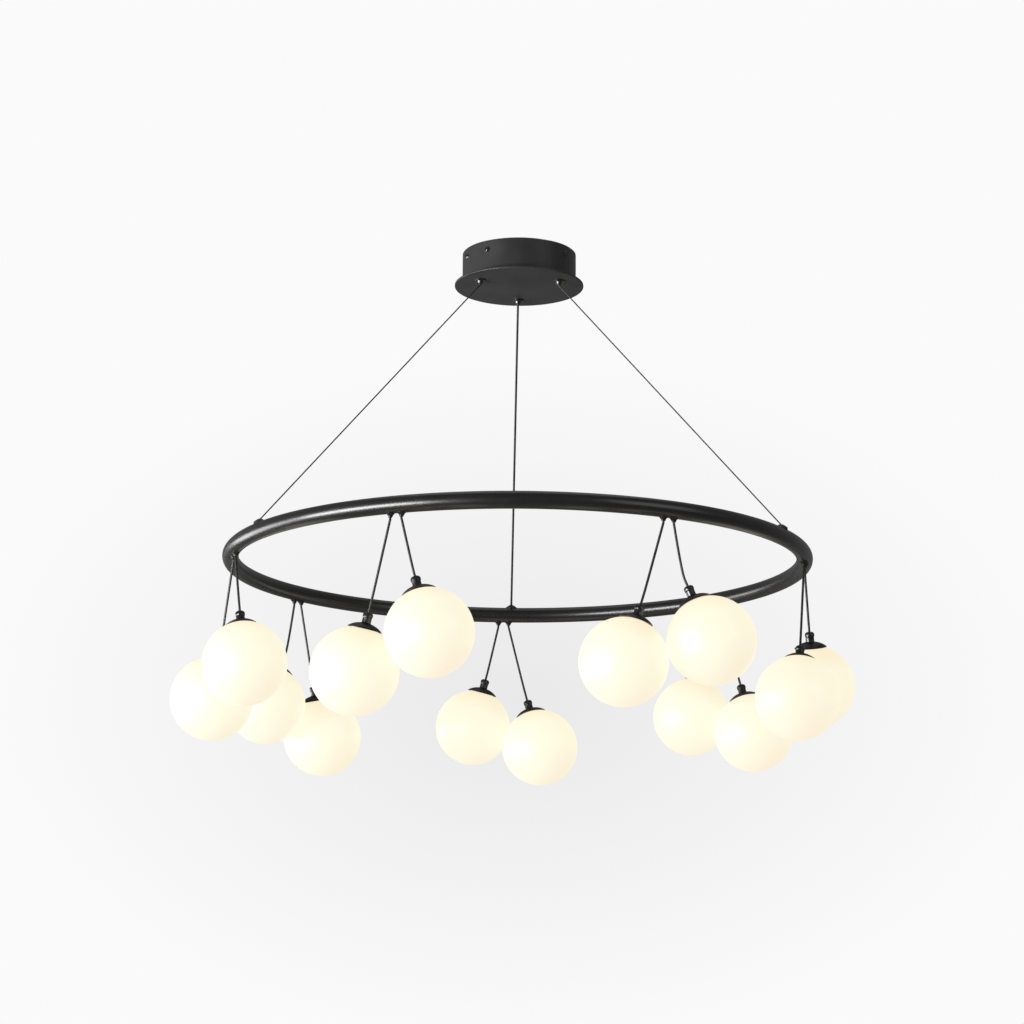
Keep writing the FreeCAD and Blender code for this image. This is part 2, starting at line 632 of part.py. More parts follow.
def lamp_holder():
    """Sleeve under the cap with a round socket for the lamp's base."""
    top = CAP_TOP - 2 * CAP_WALL
    sleeve = SLEEVE_DIAMETER / 2
    shoulder = sleeve / 2
    socket = LAMP_DIAMETER / 2 + CORD_CLEARANCE
    socket_top = SLEEVE_BOTTOM + SOCKET_DEPTH
    return revolved(polygon(
        (0, socket_top), (socket, socket_top), (socket, SLEEVE_BOTTOM), (sleeve, SLEEVE_BOTTOM),
        (sleeve, top - sleeve + shoulder), (shoulder, top), (0, top),
    ))


def lamp():
    """Capsule lamp: a short base in the socket and a round-ended clear bulb."""
    radius = LAMP_DIAMETER / 2
    top = SLEEVE_BOTTOM + SOCKET_DEPTH
    tip = top - LAMP_LENGTH
    diagonal = radius * math.sqrt(0.5)
    return revolved([
        line((0, top), (radius, top)),
        line((radius, top), (radius, tip + radius)),
        arc((radius, tip + radius), (diagonal, tip + radius - diagonal), (0, tip)),
        line((0, tip), (0, top)),
    ])


def globe():
    """Blown sphere with a round opening and a short collar turned in from its edge."""
    outer = GLOBE_DIAMETER / 2
    inner = outer - GLOBE_WALL
    opening = SLEEVE_DIAMETER / 2 + SLEEVE_CLEARANCE
    collar = opening + GLOBE_COLLAR_WALL
    lip = math.sqrt(outer ** 2 - opening ** 2)
    collar_low = lip - GLOBE_COLLAR_DEPTH
    collar_top = math.sqrt(inner ** 2 - collar ** 2)
    return revolved([
        arc((0, -outer), (outer, 0), (opening, lip)),
        line((opening, lip), (opening, collar_low)),
        line((opening, collar_low), (collar, collar_low)),
        line((collar, collar_low), (collar, collar_top)),
        arc((collar, collar_top), (inner, 0), (0, -inner)),
        line((0, -inner), (0, -outer)),
    ])


# ---- the whole lamp ------------------------------------------------------------------------------
def export(name, shape):
    if not shape.isValid():
        raise ValueError(name + " is not a valid shape")
    shape.exportStep("parts/" + name + ".step")
    print(f"{name}: {len(shape.Solids)} solids, {shape.Volume / 1000:.2f} cm3")


def main():
    os.makedirs("parts", exist_ok=True)
    export("ceiling_plate", ceiling_plate())
    export("canopy_drum", canopy_drum())
    export("canopy_disc", canopy_disc())
    export("side_screws", side_screws())
    export("terminal_block", terminal_block())
    export("canopy_lead", canopy_lead())
    export("gripper_bodies", at_grippers(gripper_body))
    export("gripper_nuts", at_grippers(lambda name: gripper_nut()))
    for name in LINE_AZIMUTHS:
        export("gripper_plunger_" + name, gripper_plunger(name))
    export("feed_cord", suspension_line("feed", CORD_DIAMETER))
    export("steel_cable_left", suspension_line("left", STEEL_CABLE_DIAMETER))
    export("steel_cable_right", suspension_line("right", STEEL_CABLE_DIAMETER))
    export("ring_tube", ring_tube())
    export("cable_anchors", Part.makeCompound([cable_anchor(name) for name in LINE_AZIMUTHS]))
    export("cord_glands", cord_glands())
    export("ring_wiring", ring_wiring())
    holder_pieces = Part.makeCompound([neck(), cap(), lamp_holder(), lamp()])
    shade = globe()
    for name, pivot, direction, route in pendants():
        centre = in_space(pivot, direction, centre_of(route))
        neck_top = in_space(pivot, direction, route[-1])
        axis = (neck_top - centre).normalize()
        export("cord_" + name, pendant_cord(name, pivot, direction, route))
        export("holder_" + name, placed(holder_pieces, centre, axis))
        export("globe_" + name, placed(shade, centre, axis))


main()
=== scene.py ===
import json
import math

import bpy
import numpy as np
from mathutils import Matrix, Vector


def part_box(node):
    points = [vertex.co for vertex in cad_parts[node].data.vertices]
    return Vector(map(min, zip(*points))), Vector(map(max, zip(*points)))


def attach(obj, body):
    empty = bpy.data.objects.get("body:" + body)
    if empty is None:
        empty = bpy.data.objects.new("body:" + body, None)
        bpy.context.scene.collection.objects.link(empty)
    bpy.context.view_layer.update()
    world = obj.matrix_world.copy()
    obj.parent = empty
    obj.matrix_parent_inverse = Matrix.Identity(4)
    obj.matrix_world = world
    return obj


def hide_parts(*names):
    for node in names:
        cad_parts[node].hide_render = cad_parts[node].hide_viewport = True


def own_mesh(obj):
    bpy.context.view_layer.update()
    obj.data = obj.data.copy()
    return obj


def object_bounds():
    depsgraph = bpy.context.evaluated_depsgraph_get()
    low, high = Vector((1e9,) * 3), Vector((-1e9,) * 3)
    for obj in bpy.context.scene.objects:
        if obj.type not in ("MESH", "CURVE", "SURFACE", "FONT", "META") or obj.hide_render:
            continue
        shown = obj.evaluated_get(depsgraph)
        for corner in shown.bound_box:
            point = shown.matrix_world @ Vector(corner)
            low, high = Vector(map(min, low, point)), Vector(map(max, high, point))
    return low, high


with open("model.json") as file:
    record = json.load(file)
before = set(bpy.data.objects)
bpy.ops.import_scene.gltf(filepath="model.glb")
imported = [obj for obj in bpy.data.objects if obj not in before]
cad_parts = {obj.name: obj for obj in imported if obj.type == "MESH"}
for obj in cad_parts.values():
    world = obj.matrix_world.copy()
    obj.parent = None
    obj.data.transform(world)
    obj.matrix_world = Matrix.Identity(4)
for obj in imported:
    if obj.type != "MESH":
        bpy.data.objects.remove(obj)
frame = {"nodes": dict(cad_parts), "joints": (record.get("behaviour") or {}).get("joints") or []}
cad_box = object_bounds()
joints = {joint["name"]: joint for joint in frame["joints"]}

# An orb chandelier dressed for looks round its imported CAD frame. Metres, with the origin on the ceiling
# on the lamp's centre line and +Z up. Every surface made here is a grid of points worked out from a formula.

bl_info = {
    "name": "Orb chandelier",
    "version": (1, 0, 0),
    "blender": (4, 5, 0),
    "location": "3D View > Sidebar > Chandelier",
    "description": "Builds a ring chandelier with pairs of opal globes on cords",
    "category": "Add Mesh",
}

MILLIMETRE = 0.001
FULL_TURN = 2 * math.pi
UP = np.array((0.0, 0.0, 1.0))
LINES = ("feed", "left", "right")       # suspension lines, by the name of their gripper's plunger

# Points round and along the pieces
RING_STEPS, RING_SIDES = 480, 64
CANOPY_SIDES = 192
FITTING_SIDES = 48
HOLDER_SIDES = 48
CAP_SIDES = 72
GLOBE_SIDES, GLOBE_STEPS = 112, 28
CORD_SIDES, CORD_STEPS = 24, 48
SIDES_PER_STRAND, STRAND_STEPS = 6, 640
BALL_STEPS, COLLAR_STEPS = 8, 8
CAP_STEPS, CAP_RIM_STEPS = 24, 4
LAMP_STEPS, LAMP_END_STEPS = 8, 4
STEM_STEPS, SLEEVE_STEPS = 84, 64
WIRE_STEPS_PER_TURN, WIRE_SIDES = 14, 10

# Small sizes that nobody would change
COLLAR_ROOM = 0.003                     # left above a gripper's collar: its travel and 1 mm
NUT_SEAT = 0.003                        # top of the canopy disc above its underside
WELD_TOE = 0.0002                       # how far the weld sinks into the disc
ANCHOR_SWELL = (0.68, 0.53)             # point of an anchor's slope: shares of its radius and height
SHOULDER = (0.72, 0.30)                 # point of a collar's dome: shares of its width and height
GLAND_WAIST = (0.38, 0.55)              # point of a gland's slope: shares of its flare and height
CAP_BULGE = 0.72                        # point of the cap's dome half way out: share of its rise
CAP_HOLE = 0.0042                       # hole in the cap for the neck's stub, on radius
SOCKET_ROOM = 0.0001                    # left round the lamp's base, on radius
LIP_TOWARDS = 0.30                      # angle from the globe's axis that its lip turns to, in radians
CONDUCTORS = 3                          # in the ring
BASE_RIBS = 20                          # round the lamp's base
POST_EDGE, POST_POINT = 0.6, 0.2        # end of the lamp's post: shares of its radius
LIT_RING = 0.0025                       # from one lit ring of the lamp's post to the next
STREAK_CHANGE = 6.0                     # how fast streaks change along a drawn surface, per metre
HAND_PATCH = 0.035                      # size of the patches that handling leaves
HANDLED = 0.05                          # roughness that handling adds
LEAD_START = 0.007                      # start of the canopy's lead above the disc's underside
LEAD_ROUTE = ((0.068, -0.022), (0.054, -0.009), (0.028, -0.009), (0.014, -0.022))     # its Y and Z
LEAD_END = 0.014                        # Y of its end on the terminal block
FLOOR_THICKNESS = 0.02
SENSOR_WIDTH = 36.0                     # millimetres
OVAL_ACROSS = (0.0233, 0.190)           # backdrop's shaded oval: middle and half axis, as sines
OVAL_UP = (0.151, 0.122)                # the same for its height
LIGHTS = {                              # width, height, azimuth and elevation in degrees, distance
    "window": (2.7, 1.1, 211.0, -13.0, 3.0),
    "side_window": (2.2, 1.0, 158.0, -12.0, 3.0),
    "fill": (2.0, 2.0, 318.0, 12.0, 3.6),
    "overhead": (2.4, 2.4, 90.0, 78.0, 2.8),
}
MADE = {}                               # node groups and materials by the function that makes them


# ---- settings ------------------------------------------------------------------------------------
def size(name, millimetres, description):
    """A length setting: its default is given in millimetres and kept in metres."""
    return bpy.props.FloatProperty(
        name=name, description=description, default=millimetres * MILLIMETRE, min=0.0,
        unit="LENGTH", subtype="DISTANCE", precision=4)


def level(name, millimetres, description):
    """A height setting, which may be below zero."""
    return bpy.props.FloatProperty(
        name=name, description=description, default=millimetres * MILLIMETRE,
        unit="LENGTH", subtype="DISTANCE", precision=4)


def angle(name, degrees, description):
    return bpy.props.FloatProperty(
        name=name, description=description, default=math.radians(degrees), unit="ROTATION", subtype="ANGLE")


def share(name, value, description):
    return bpy.props.FloatProperty(
        name=name, description=description, default=value, min=0.0, max=1.0, subtype="FACTOR")


def amount(name, value, description):
    return bpy.props.FloatProperty(name=name, description=description, default=value, min=0.0)


def colour(name, rgb, description):
    return bpy.props.FloatVectorProperty(
        name=name, description=description, default=rgb, size=3, min=0.0, max=1.0, subtype="COLOR")


class CanopySizes(bpy.types.PropertyGroup):
    drum_wall: size("Drum wall", 1.2, "Sheet thickness of the drum")
    drum_lip: size("Drum lip", 6.0, "Inward lip welded to the disc")
    edge_radius: size("Edge radius", 0.8, "Rounding of the disc's rim")
    sheet_radius: size("Sheet radius", 0.45, "Rounding of the drum's upper edge")
    weld: size("Weld", 0.9, "Fillet of the weld between drum and disc")


class GripperSizes(bpy.types.PropertyGroup):
    flange_diameter: size("Flange diameter", 17.0, "Flange against the canopy disc")
    flange_thickness: size("Flange thickness", 1.8, "Thickness of the flange")
    nozzle_top: size("Nozzle top", 10.0, "Nozzle's diameter at the flange")
    nozzle_tip: size("Nozzle tip", 7.8, "Nozzle's diameter at its tip")
    nozzle_length: size("Nozzle length", 3.7, "Length of the nozzle")
    stem_diameter: size("Stem diameter", 10.0, "Threaded stem through the disc")
    stem_length: size("Stem length", 12.0, "Length of the stem")
    thread_pitch: size("Thread pitch", 1.0, "Pitch of the stem's thread")
    thread_depth: size("Thread depth", 0.45, "Depth of the stem's thread")
    plunger_diameter: size("Plunger diameter", 5.0, "Push-in release collar")
    plunger_proud: size("Plunger proud", 2.2, "How far the collar stands out of the nozzle")
    plunger_length: size("Plunger length", 8.5, "Whole length of the collar")
    clearance: size("Clearance", 0.05, "Left round the collar, on radius")
    edge: size("Edge", 0.35, "Rounding of turned edges")


class LineSizes(bpy.types.PropertyGroup):
    steel_diameter: size("Steel cable", 2.0, "Diameter of the steel suspension cables")
    cord_diameter: size("Cord", 3.4, "Diameter of the feed cord and the pendant cords")
    clearance: size("Clearance", 0.1, "Left round a line in a hole, on radius")
    lay_length: size("Lay length", 13.0, "Length in which a strand goes once round its cable")
    strand_depth: share("Strand depth", 0.16, "Grooves between the strands, as a share of the radius")
    strands: bpy.props.IntProperty(
        name="Strands", description="Outer strands of a steel cable", default=6, min=3, max=12)
    hidden_end: size("Hidden end", 2.0, "How far a line runs on inside its gripper and its anchor")
    meets_axis: share(
        "Meets its axis", 0.35, "Where a pendant's cord turns into line with its neck, from its end")
    in_neck: size("In the neck", 16.5, "How far a pendant's cord runs on inside its neck")


class RingSizes(bpy.types.PropertyGroup):
    tube_diameter: size("Tube diameter", 24.0, "Diameter of the ring's tube")
    anchor_diameter: size("Anchor diameter", 18.5, "Dome that a suspension line enters")
    anchor_height: size("Anchor height", 4.5, "Top of the dome above the tube")
    anchor_top: size("Anchor top", 6.0, "Flat top of the dome")
    gland_top: size("Gland top", 11.4, "Gland's diameter at the tube")
    gland_mouth: size("Gland mouth", 5.4, "Gland's diameter where the cord leaves it")
    gland_height: size("Gland height", 5.2, "Gland's height below the tube")
    sunk: size("Sunk", 4.0, "How far anchors and glands reach into the tube")
    edge: size("Edge", 0.4, "Rounding of turned edges")
    wiring_level: level("Wiring level", -4.0, "Conductors, from the tube's centre line")
    wire_diameter: size("Wire diameter", 2.7, "Diameter of one conductor in the ring")
    wire_spread: size("Wire spread", 1.56, "Conductor's centre from the bundle's centre")
    wire_lay: size("Wire lay", 62.0, "Length in which the conductors twist once")


class HolderSizes(bpy.types.PropertyGroup):
    """Heights are above the globe's centre, along the pendant."""
    neck_top: level("Neck top", 80.0, "Height of the neck's top")
    neck_diameter: size("Neck diameter", 12.4, "Diameter of the neck")
    collar_diameter: size("Collar diameter", 13.8, "Collar round the neck's top")
    collar_height: size("Collar height", 6.0, "Height of the collar, with its dome")
    dome: size("Collar dome", 3.0, "Height of the dome on the collar")
    cap_rim: level("Cap rim", 57.0, "Height of the cap's rim")
    cap_diameter: size("Cap diameter", 47.0, "Diameter of the cap")
    cap_rise: size("Cap rise", 8.5, "Rise of the cap from rim to neck")
    cap_wall: size("Cap wall", 1.0, "Sheet thickness of the cap")
    sleeve_diameter: size("Sleeve diameter", 27.4, "Threaded sleeve that the globe goes on")
    sleeve_bottom: level("Sleeve bottom", 44.0, "Height of the sleeve's lower end")
    thread_pitch: size("Thread pitch", 2.4, "Pitch of the sleeve's round thread")
    thread_depth: size("Thread depth", 0.45, "Depth of the sleeve's thread")
    socket_depth: size("Socket depth", 8.0, "Depth of the socket for the lamp's base")
    edge: size("Edge", 0.35, "Rounding of turned edges")


class GlobeSizes(bpy.types.PropertyGroup):
    diameter: size("Diameter", 120.0, "Outside diameter of the glass")
    wall: size("Wall", 2.5, "Thickness of the glass")
    clearance: size("Clearance", 0.3, "Left round the sleeve in the opening, on radius")
    collar_wall: size("Collar wall", 2.5, "Thickness of the collar turned in from the opening")
    collar_depth: size("Collar depth", 9.0, "Depth of the collar below the glass edge")
    edge: size("Edge", 0.7, "Fire-polished rounding of the glass edge")


class LampSizes(bpy.types.PropertyGroup):
    diameter: size("Diameter", 16.0, "Diameter of the capsule lamp")
    length: size("Length", 48.0, "Whole length of the capsule lamp")
    base_length: size("Base length", 17.0, "Length of its moulded base")
    rib_depth: size("Rib depth", 0.5, "Depth of the ribs round the base")
    glass_wall: size("Glass wall", 0.8, "Thickness of its clear envelope")
    post_diameter: size("Post diameter", 7.0, "Lit post inside the envelope")


class Finishes(bpy.types.PropertyGroup):
    canopy: colour("Canopy", (0.024, 0.024, 0.0245), "Satin powder coat")
    ring: colour("Ring", (0.006, 0.0058, 0.0058), "Semi-gloss lacquer")
    fittings: colour("Fittings", (0.005, 0.005, 0.005), "Gloss lacquer of the small turned parts")
    cord: colour("Cord", (0.012, 0.012, 0.012), "Sheath of the cords")
    cable: colour("Cable", (0.030, 0.030, 0.031), "Blackened steel of the cables")
    zinc: colour("Zinc", (0.55, 0.56, 0.58), "Zinc plating")
    terminal: colour("Terminal block", (0.78, 0.77, 0.72), "Moulded plastic")
    opal: colour("Opal glass", (0.115, 0.113, 0.11), "Glass by reflected light")
    glow_foot: colour("Glow at the foot", (0.92, 0.82, 0.64), "Light through the glass furthest from the cap")
    glow_middle: colour("Glow in the middle", (0.93, 0.88, 0.68), "Light through the glass beside the lamp")
    glow_crown: colour("Glow at the crown", (0.92, 0.8, 0.57), "Light through the glass under the cap")
    glow_strength: amount("Glow strength", 1.0, "How bright the lit glass is")


class StageSettings(bpy.types.PropertyGroup):
    floor_level: level("Floor level", -6000.0, "Height of the floor; the ceiling is at zero")
    floor_radius: size("Floor radius", 30000.0, "Radius of the floor")
    floor_colour: colour("Floor colour", (0.80, 0.80, 0.79), "Matt pale floor")
    floor_glow: amount("Floor glow", 0.75, "How bright the camera sees the floor, beyond what lights it")
    backdrop_rim: amount("Backdrop rim", 0.956, "Brightness of the backdrop away from the lamp")
    backdrop_middle: amount("Backdrop middle", 0.815, "Brightness of the backdrop behind the globes")
    room: amount("Room", 0.18, "Light that comes from all round")
    window: amount("Window", 190.0, "Power of the large soft light at the left, in watts")
    side_window: amount("Side window", 40.0, "Power of the soft light further round to the left, in watts")
    fill: amount("Fill", 14.0, "Power of the soft light at the right, in watts")
    overhead: amount("Overhead", 9.0, "Power of the soft light above, in watts")
    lens: bpy.props.FloatProperty(
        name="Lens", description="Focal length on a 36 mm sensor", default=95.78, min=1.0, unit="CAMERA")
    camera_place: bpy.props.FloatVectorProperty(
        name="Camera place", description="Where the camera stands", default=(-0.0899, -3.9334, -1.2797),
        size=3, unit="LENGTH", subtype="TRANSLATION", precision=4)
    camera_yaw: angle("Camera yaw", -1.185, "Turn of the camera about the vertical")
    camera_pitch: angle("Camera pitch", 12.626, "How far the camera looks up")
    camera_roll: angle("Camera roll", -0.365, "Turn of the camera about its own axis")


# ---- what the frame says -------------------------------------------------------------------------
def unit(vector):
    """A vector, or each row of an array of vectors, at length 1."""
    return vector / np.linalg.norm(vector, axis=-1, keepdims=True)


def box(node):
    """A CAD node's lowest and highest corners as arrays."""
    return [np.array(corner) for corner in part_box(node)]


def gripper_centre(line):
    """Centre of a gripper on the disc's underside, from its plunger and the disc."""
    low, high = box("gripper_plunger_" + line)
    middle = (low + high) / 2
    return np.array((middle[0], middle[1], box("canopy_disc")[0][2]))


def ring_line(sizes):
    """Radius and height of the tube's centre line."""
    low, high = box("ring_tube")
    return (high[0] - low[0] - sizes.tube_diameter) / 2, (low[2] + high[2]) / 2


def anchor_centre(line, sizes):
    """Centre of an anchor, on the tube's centre line beyond its gripper."""
    radius, height = ring_line(sizes)
    towards = gripper_centre(line) * (1, 1, 0)
    return unit(towards) * radius + UP * height


def pendants(globe):
    """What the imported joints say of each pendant, as a list of dicts: its name, the pivot at its gland,
    the level direction that it leans in, its own axis (up from globe to neck) and its globe's centre."""
    found = []
    for key in [name.removeprefix("swing_") for name in joints if name.startswith("swing_")]:
        swing = joints["swing_" + key]
        side = -1 if key.endswith("long") else 1
        low, high = box("globe_" + key)
        centre = (low + high) / 2
        centre[2] = low[2] + globe.diameter / 2
        found.append({
            "name": key,
            "pivot": np.array(swing["pos_m"]),
            "lean": np.array(swing["axis"]) * side,
            "axis": -np.array(joints["globe_off_" + key]["axis"]),
            "centre": centre,
        })
    return found


# ---- outlines ------------------------------------------------------------------------------------
def between(start, end, about, steps):
    """Points of an arc from start to end about a centre. With angle w between the two radii u and v, the
    radius at share t is (sin((1 - t) w) u + sin(t w) v) / sin w."""
    first, last = np.subtract(start, about), np.subtract(end, about)
    cosine = first @ last / (np.linalg.norm(first) * np.linalg.norm(last))
    whole = math.acos(max(-1.0, min(1.0, cosine)))
    part = np.linspace(0, 1, steps + 1)[:, None]
    return about + (np.sin((1 - part) * whole) * first + np.sin(part * whole) * last) / math.sin(whole)


def arc_through(start, middle, end, steps=16):
    """Points of the arc through three points: its centre is as far from the first as from the others."""
    a, b, c = (np.array(p, float) for p in (start, middle, end))
    sides = 2 * np.array((b - a, c - a))
    centre = np.linalg.solve(sides, np.array((b @ b - a @ a, c @ c - a @ a)))
    return between(a, c, centre, steps)


def rounded(corners, steps=5):
    """Outline through (radius, height) or (radius, height, rounding) corners. A rounded corner becomes the
    arc that touches both its sides, whose centre is rounding / sin(half angle) from the corner."""
    places = np.array([corner[:2] for corner in corners], float)
    made = []
    for index, corner in enumerate(corners):
        place = places[index]
        radius = corner[2] if len(corner) > 2 else 0
        if radius == 0:
            made.append(place[None])
            continue
        back = unit(places[index - 1] - place)
        on = unit(places[(index + 1) % len(places)] - place)
        half = math.acos(max(-1.0, min(1.0, back @ on))) / 2
        cut = radius / math.tan(half)
        centre = place + unit(back + on) * radius / math.sin(half)
        made.append(between(place + back * cut, place + on * cut, centre, steps))
    return np.vstack(made)


def column(radius, high, low, steps):
    """Straight side of an outline, from high down to low, with points between them."""
    return np.column_stack((np.full(steps + 1, radius), np.linspace(high, low, steps + 1)))


# ---- surfaces ------------------------------------------------------------------------------------
def skin(grid, first=None, last=None, wrap_along=False):
    """Closed surface over a grid of points, as (points, quads, triangles, quad UVs, triangle UVs).

    The grid's rows go round the shape and its columns go along it, so with e1 along and e2 round the
    faces look towards e1 x e2. Rows always close on themselves, and columns do if wrap_along is set.
    first and last are single points that close the two open ends with a fan. U is the share of the way
    round, and V the distance along the first row."""
    rows, columns = grid.shape[:2]
    number = np.arange(rows * columns).reshape(rows, columns)
    number = np.vstack((number, number[:1]))
    steps = np.linalg.norm(np.diff(grid[0], axis=0), axis=1)
    along = np.concatenate(((0,), np.cumsum(steps)))
    if wrap_along:
        number = np.hstack((number, number[:, :1]))
        along = np.append(along, along[-1] + np.linalg.norm(grid[0, 0] - grid[0, -1]))
    round_it = np.arange(rows + 1) / rows
    uv = np.stack(np.broadcast_arrays(round_it[:, None], along[None, :]), axis=-1)

    def corners(table):
        """Four neighbours in the table for each cell of the grid, in order round the cell."""
        four = (table[:-1, :-1], table[:-1, 1:], table[1:, 1:], table[1:, :-1])
        return np.stack(four, axis=2)

    quads = corners(number).reshape(-1, 4)
    quad_uvs = corners(uv).reshape(-1, 4, 2)
    points = grid.reshape(-1, 3)
    triangles, triangle_uvs = [np.empty((0, 3), int)], [np.empty((0, 3, 2))]
    for pole, column, order in ((first, 0, (0, 1)), (last, -1, (1, 0))):
        if pole is None:
            continue
        edge = number[:, column]
        pair = (edge[:-1], edge[1:])
        uv_pair = (uv[:-1, column], uv[1:, column])
        apex = np.full(rows, len(points))
        triangles.append(np.stack((apex, pair[order[0]], pair[order[1]]), axis=1))
        apex_uv = (uv_pair[0] + uv_pair[1]) / 2
        triangle_uvs.append(np.stack((apex_uv, uv_pair[order[0]], uv_pair[order[1]]), axis=1))
        points = np.vstack((points, pole))
    return points, quads, np.vstack(triangles), quad_uvs, np.vstack(triangle_uvs)


def turned(outline, steps=48, closed=False, ripple=None):
    """Surface of turning: outline point (r, h) goes to (r cos a, r sin a, h) for a from 0 to a full turn.
    The outline runs down the outside, so that the faces look outwards. An end on the axis becomes a
    single point. ripple(angles, heights), if given, is added to the radii, and makes threads and ribs."""
    outline = np.asarray(outline, float)
    on_axis = outline[:, 0] < MILLIMETRE / 1000
    poles = [np.array((0, 0, outline[i, 1])) if on_axis[i] else None for i in (0, -1)]
    radius, height = outline[~on_axis].T
    turn = np.arange(steps)[:, None] * FULL_TURN / steps
    radii = radius[None, :] + (ripple(turn, height[None, :]) if ripple else 0 * turn)
    heights = np.broadcast_to(height, radii.shape)
    grid = np.stack((radii * np.cos(turn), radii * np.sin(turn), heights), axis=-1)
    return skin(grid, *poles, wrap_along=closed)


def thread(outline, core, pitch, depth, low, high):
    """Ripple for turned(): a screw thread cut depth deep between two heights, where the outline lies further
    out than core. Its flanks follow (1 - cos(2 pi h / pitch + a)) / 2."""
    radii = outline[:, 0]
    outside = (radii > core)[radii > 0]

    def cut(turn, height):
        threaded = outside & (height > low) & (height < high)
        return -depth * threaded * (1 - np.cos(FULL_TURN * height / pitch + turn)) / 2
    return cut


def ribs(number, depth, low, high):
    """Ripple for turned(): ribs along the axis between two heights, with grooves depth deep between them
    that follow (1 + cos(number a)) / 2."""
    def cut(turn, height):
        return -depth * ((height > low) & (height < high)) * (1 + np.cos(number * turn)) / 2
    return cut


def swept(path, across, radii, steps, ball=False):
    """Tube round a path that lies in one plane: point = path + r (cos a s + sin a (s x t)), where s is the
    plane's normal and t the path's direction. radii is one number or an array (round, along). With ball
    set, the tube starts in a half sphere about the path's first point."""
    direction = unit(np.gradient(path, axis=0))
    radii = np.broadcast_to(radii, (steps, len(path)))
    start = path[0]
    if ball:
        lift = np.linspace(0, math.pi / 2, BALL_STEPS)[1:-1]
        reach = radii[0, 0]
        start = path[0] - direction[0] * reach
        path = np.vstack((path[0] - direction[0] * reach * np.cos(lift)[:, None], path))
        direction = np.vstack((np.repeat(direction[:1], len(lift), axis=0), direction))
        radii = np.hstack((np.broadcast_to(reach * np.sin(lift), (steps, len(lift))), radii))
    turn = np.arange(steps)[:, None, None] * FULL_TURN / steps
    sideways = np.cross(across, direction)
    grid = path[None] + radii[..., None] * (np.cos(turn) * across + np.sin(turn) * sideways)
    return skin(grid, start, path[-1])


def stand(surface, origin, axis=UP):
    """The same surface with its own +Z along axis and its own origin at origin. The matrix's columns are
    two directions across the axis and the axis itself. The first is square to a helper well off the axis."""
    axis = unit(np.asarray(axis, float))
    helper = np.array((0.0, 1.0, 0.0)) if abs(axis[1]) < 0.9 else np.array((1.0, 0.0, 0.0))
    first = unit(np.cross(helper, axis))
    turn = np.stack((first, np.cross(axis, first), axis), axis=1)
    return (surface[0] @ turn.T + origin, *surface[1:])


def joined(surfaces):
    """Several surfaces as one, with their points' numbers carried on."""
    surfaces = list(surfaces)
    start = np.cumsum([0] + [len(surface[0]) for surface in surfaces[:-1]])
    return (
        np.vstack([surface[0] for surface in surfaces]),
        np.vstack([surface[1] + shift for surface, shift in zip(surfaces, start)]),
        np.vstack([surface[2] + shift for surface, shift in zip(surfaces, start)]),
        np.vstack([surface[3] for surface in surfaces]),
        np.vstack([surface[4] for surface in surfaces]),
    )


def piece(name, surface, finish, body, stands_for=(), attributes=None, crease=35.0):
    """Object from a surface, smooth but for edges sharper than crease, riding on a CAD body.
    attributes gives each point a number that the finish reads by name."""
    points, quads, triangles, quad_uvs, triangle_uvs = surface
    mesh = bpy.data.meshes.new(name)
    mesh.from_pydata(points, [], quads.tolist() + triangles.tolist())
    uv_layer = mesh.uv_layers.new(name="Surface")
    corner_uvs = np.concatenate((quad_uvs.reshape(-1, 2), triangle_uvs.reshape(-1, 2)))
    uv_layer.data.foreach_set("uv", corner_uvs.astype(np.float32).ravel())
    for label, values in (attributes or {}).items():
        mesh.attributes.new(label, "FLOAT", "POINT").data.foreach_set("value", values.astype(np.float32))
    mesh.shade_smooth()
    mesh.set_sharp_from_angle(angle=math.radians(crease))
    if mesh.validate():
        raise ValueError(name + " has a bad face")
    made = bpy.data.objects.new(name, mesh)
    bpy.context.scene.collection.objects.link(made)
    mesh.materials.append(finish)
    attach(made, body)
    if stands_for:
        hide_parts(*stands_for)
    return made


def smooth_line(route, steps):
    """Points read from the NURBS line that has the route's points as its control points."""
    curve = bpy.data.curves.new("route", "CURVE")
    curve.dimensions = "3D"
    curve.resolution_u = steps
    spline = curve.splines.new("NURBS")
    spline.points.add(len(route) - 1)
    spline.points.foreach_set("co", np.column_stack((route, np.ones(len(route)))).ravel())
    spline.order_u = 3
    spline.use_endpoint_u = True
    holder = bpy.data.objects.new("route", curve)
    mesh = bpy.data.meshes.new_from_object(holder)
    line = np.empty(len(mesh.vertices) * 3)
    mesh.vertices.foreach_get("co", line)
    bpy.data.meshes.remove(mesh)
    bpy.data.objects.remove(holder)
    bpy.data.curves.remove(curve)
    return line.reshape(-1, 3)


def run_length(route):
    """Sum of the distances from each point of a route to the next."""
    return float(np.linalg.norm(np.diff(route, axis=0), axis=1).sum())


# ---- finishes ------------------------------------------------------------------------------------
def add(tree, kind, inputs=None, **chosen):
    """New node with its settings, and each input set to a value or linked from a socket."""
    node = tree.nodes.new(kind)
    for name, value in chosen.items():
        setattr(node, name, value)
    for name, value in (inputs or {}).items():
        if isinstance(value, bpy.types.NodeSocket):
            tree.links.new(value, node.inputs[name])
        else:
            node.inputs[name].default_value = value
    return node


def maths(tree, operation, first, second=0.0):
    """Output of one Math node."""
    return add(tree, "ShaderNodeMath", {0: first, 1: second}, operation=operation).outputs[0]


def spread(tree, value, low, high, value_low=0.0, value_high=1.0):
    """Output that goes from low to high as value goes from value_low to value_high."""
    return add(tree, "ShaderNodeMapRange", {
        "Value": value, "From Min": value_low, "From Max": value_high, "To Min": low, "To Max": high,
    }).outputs["Result"]


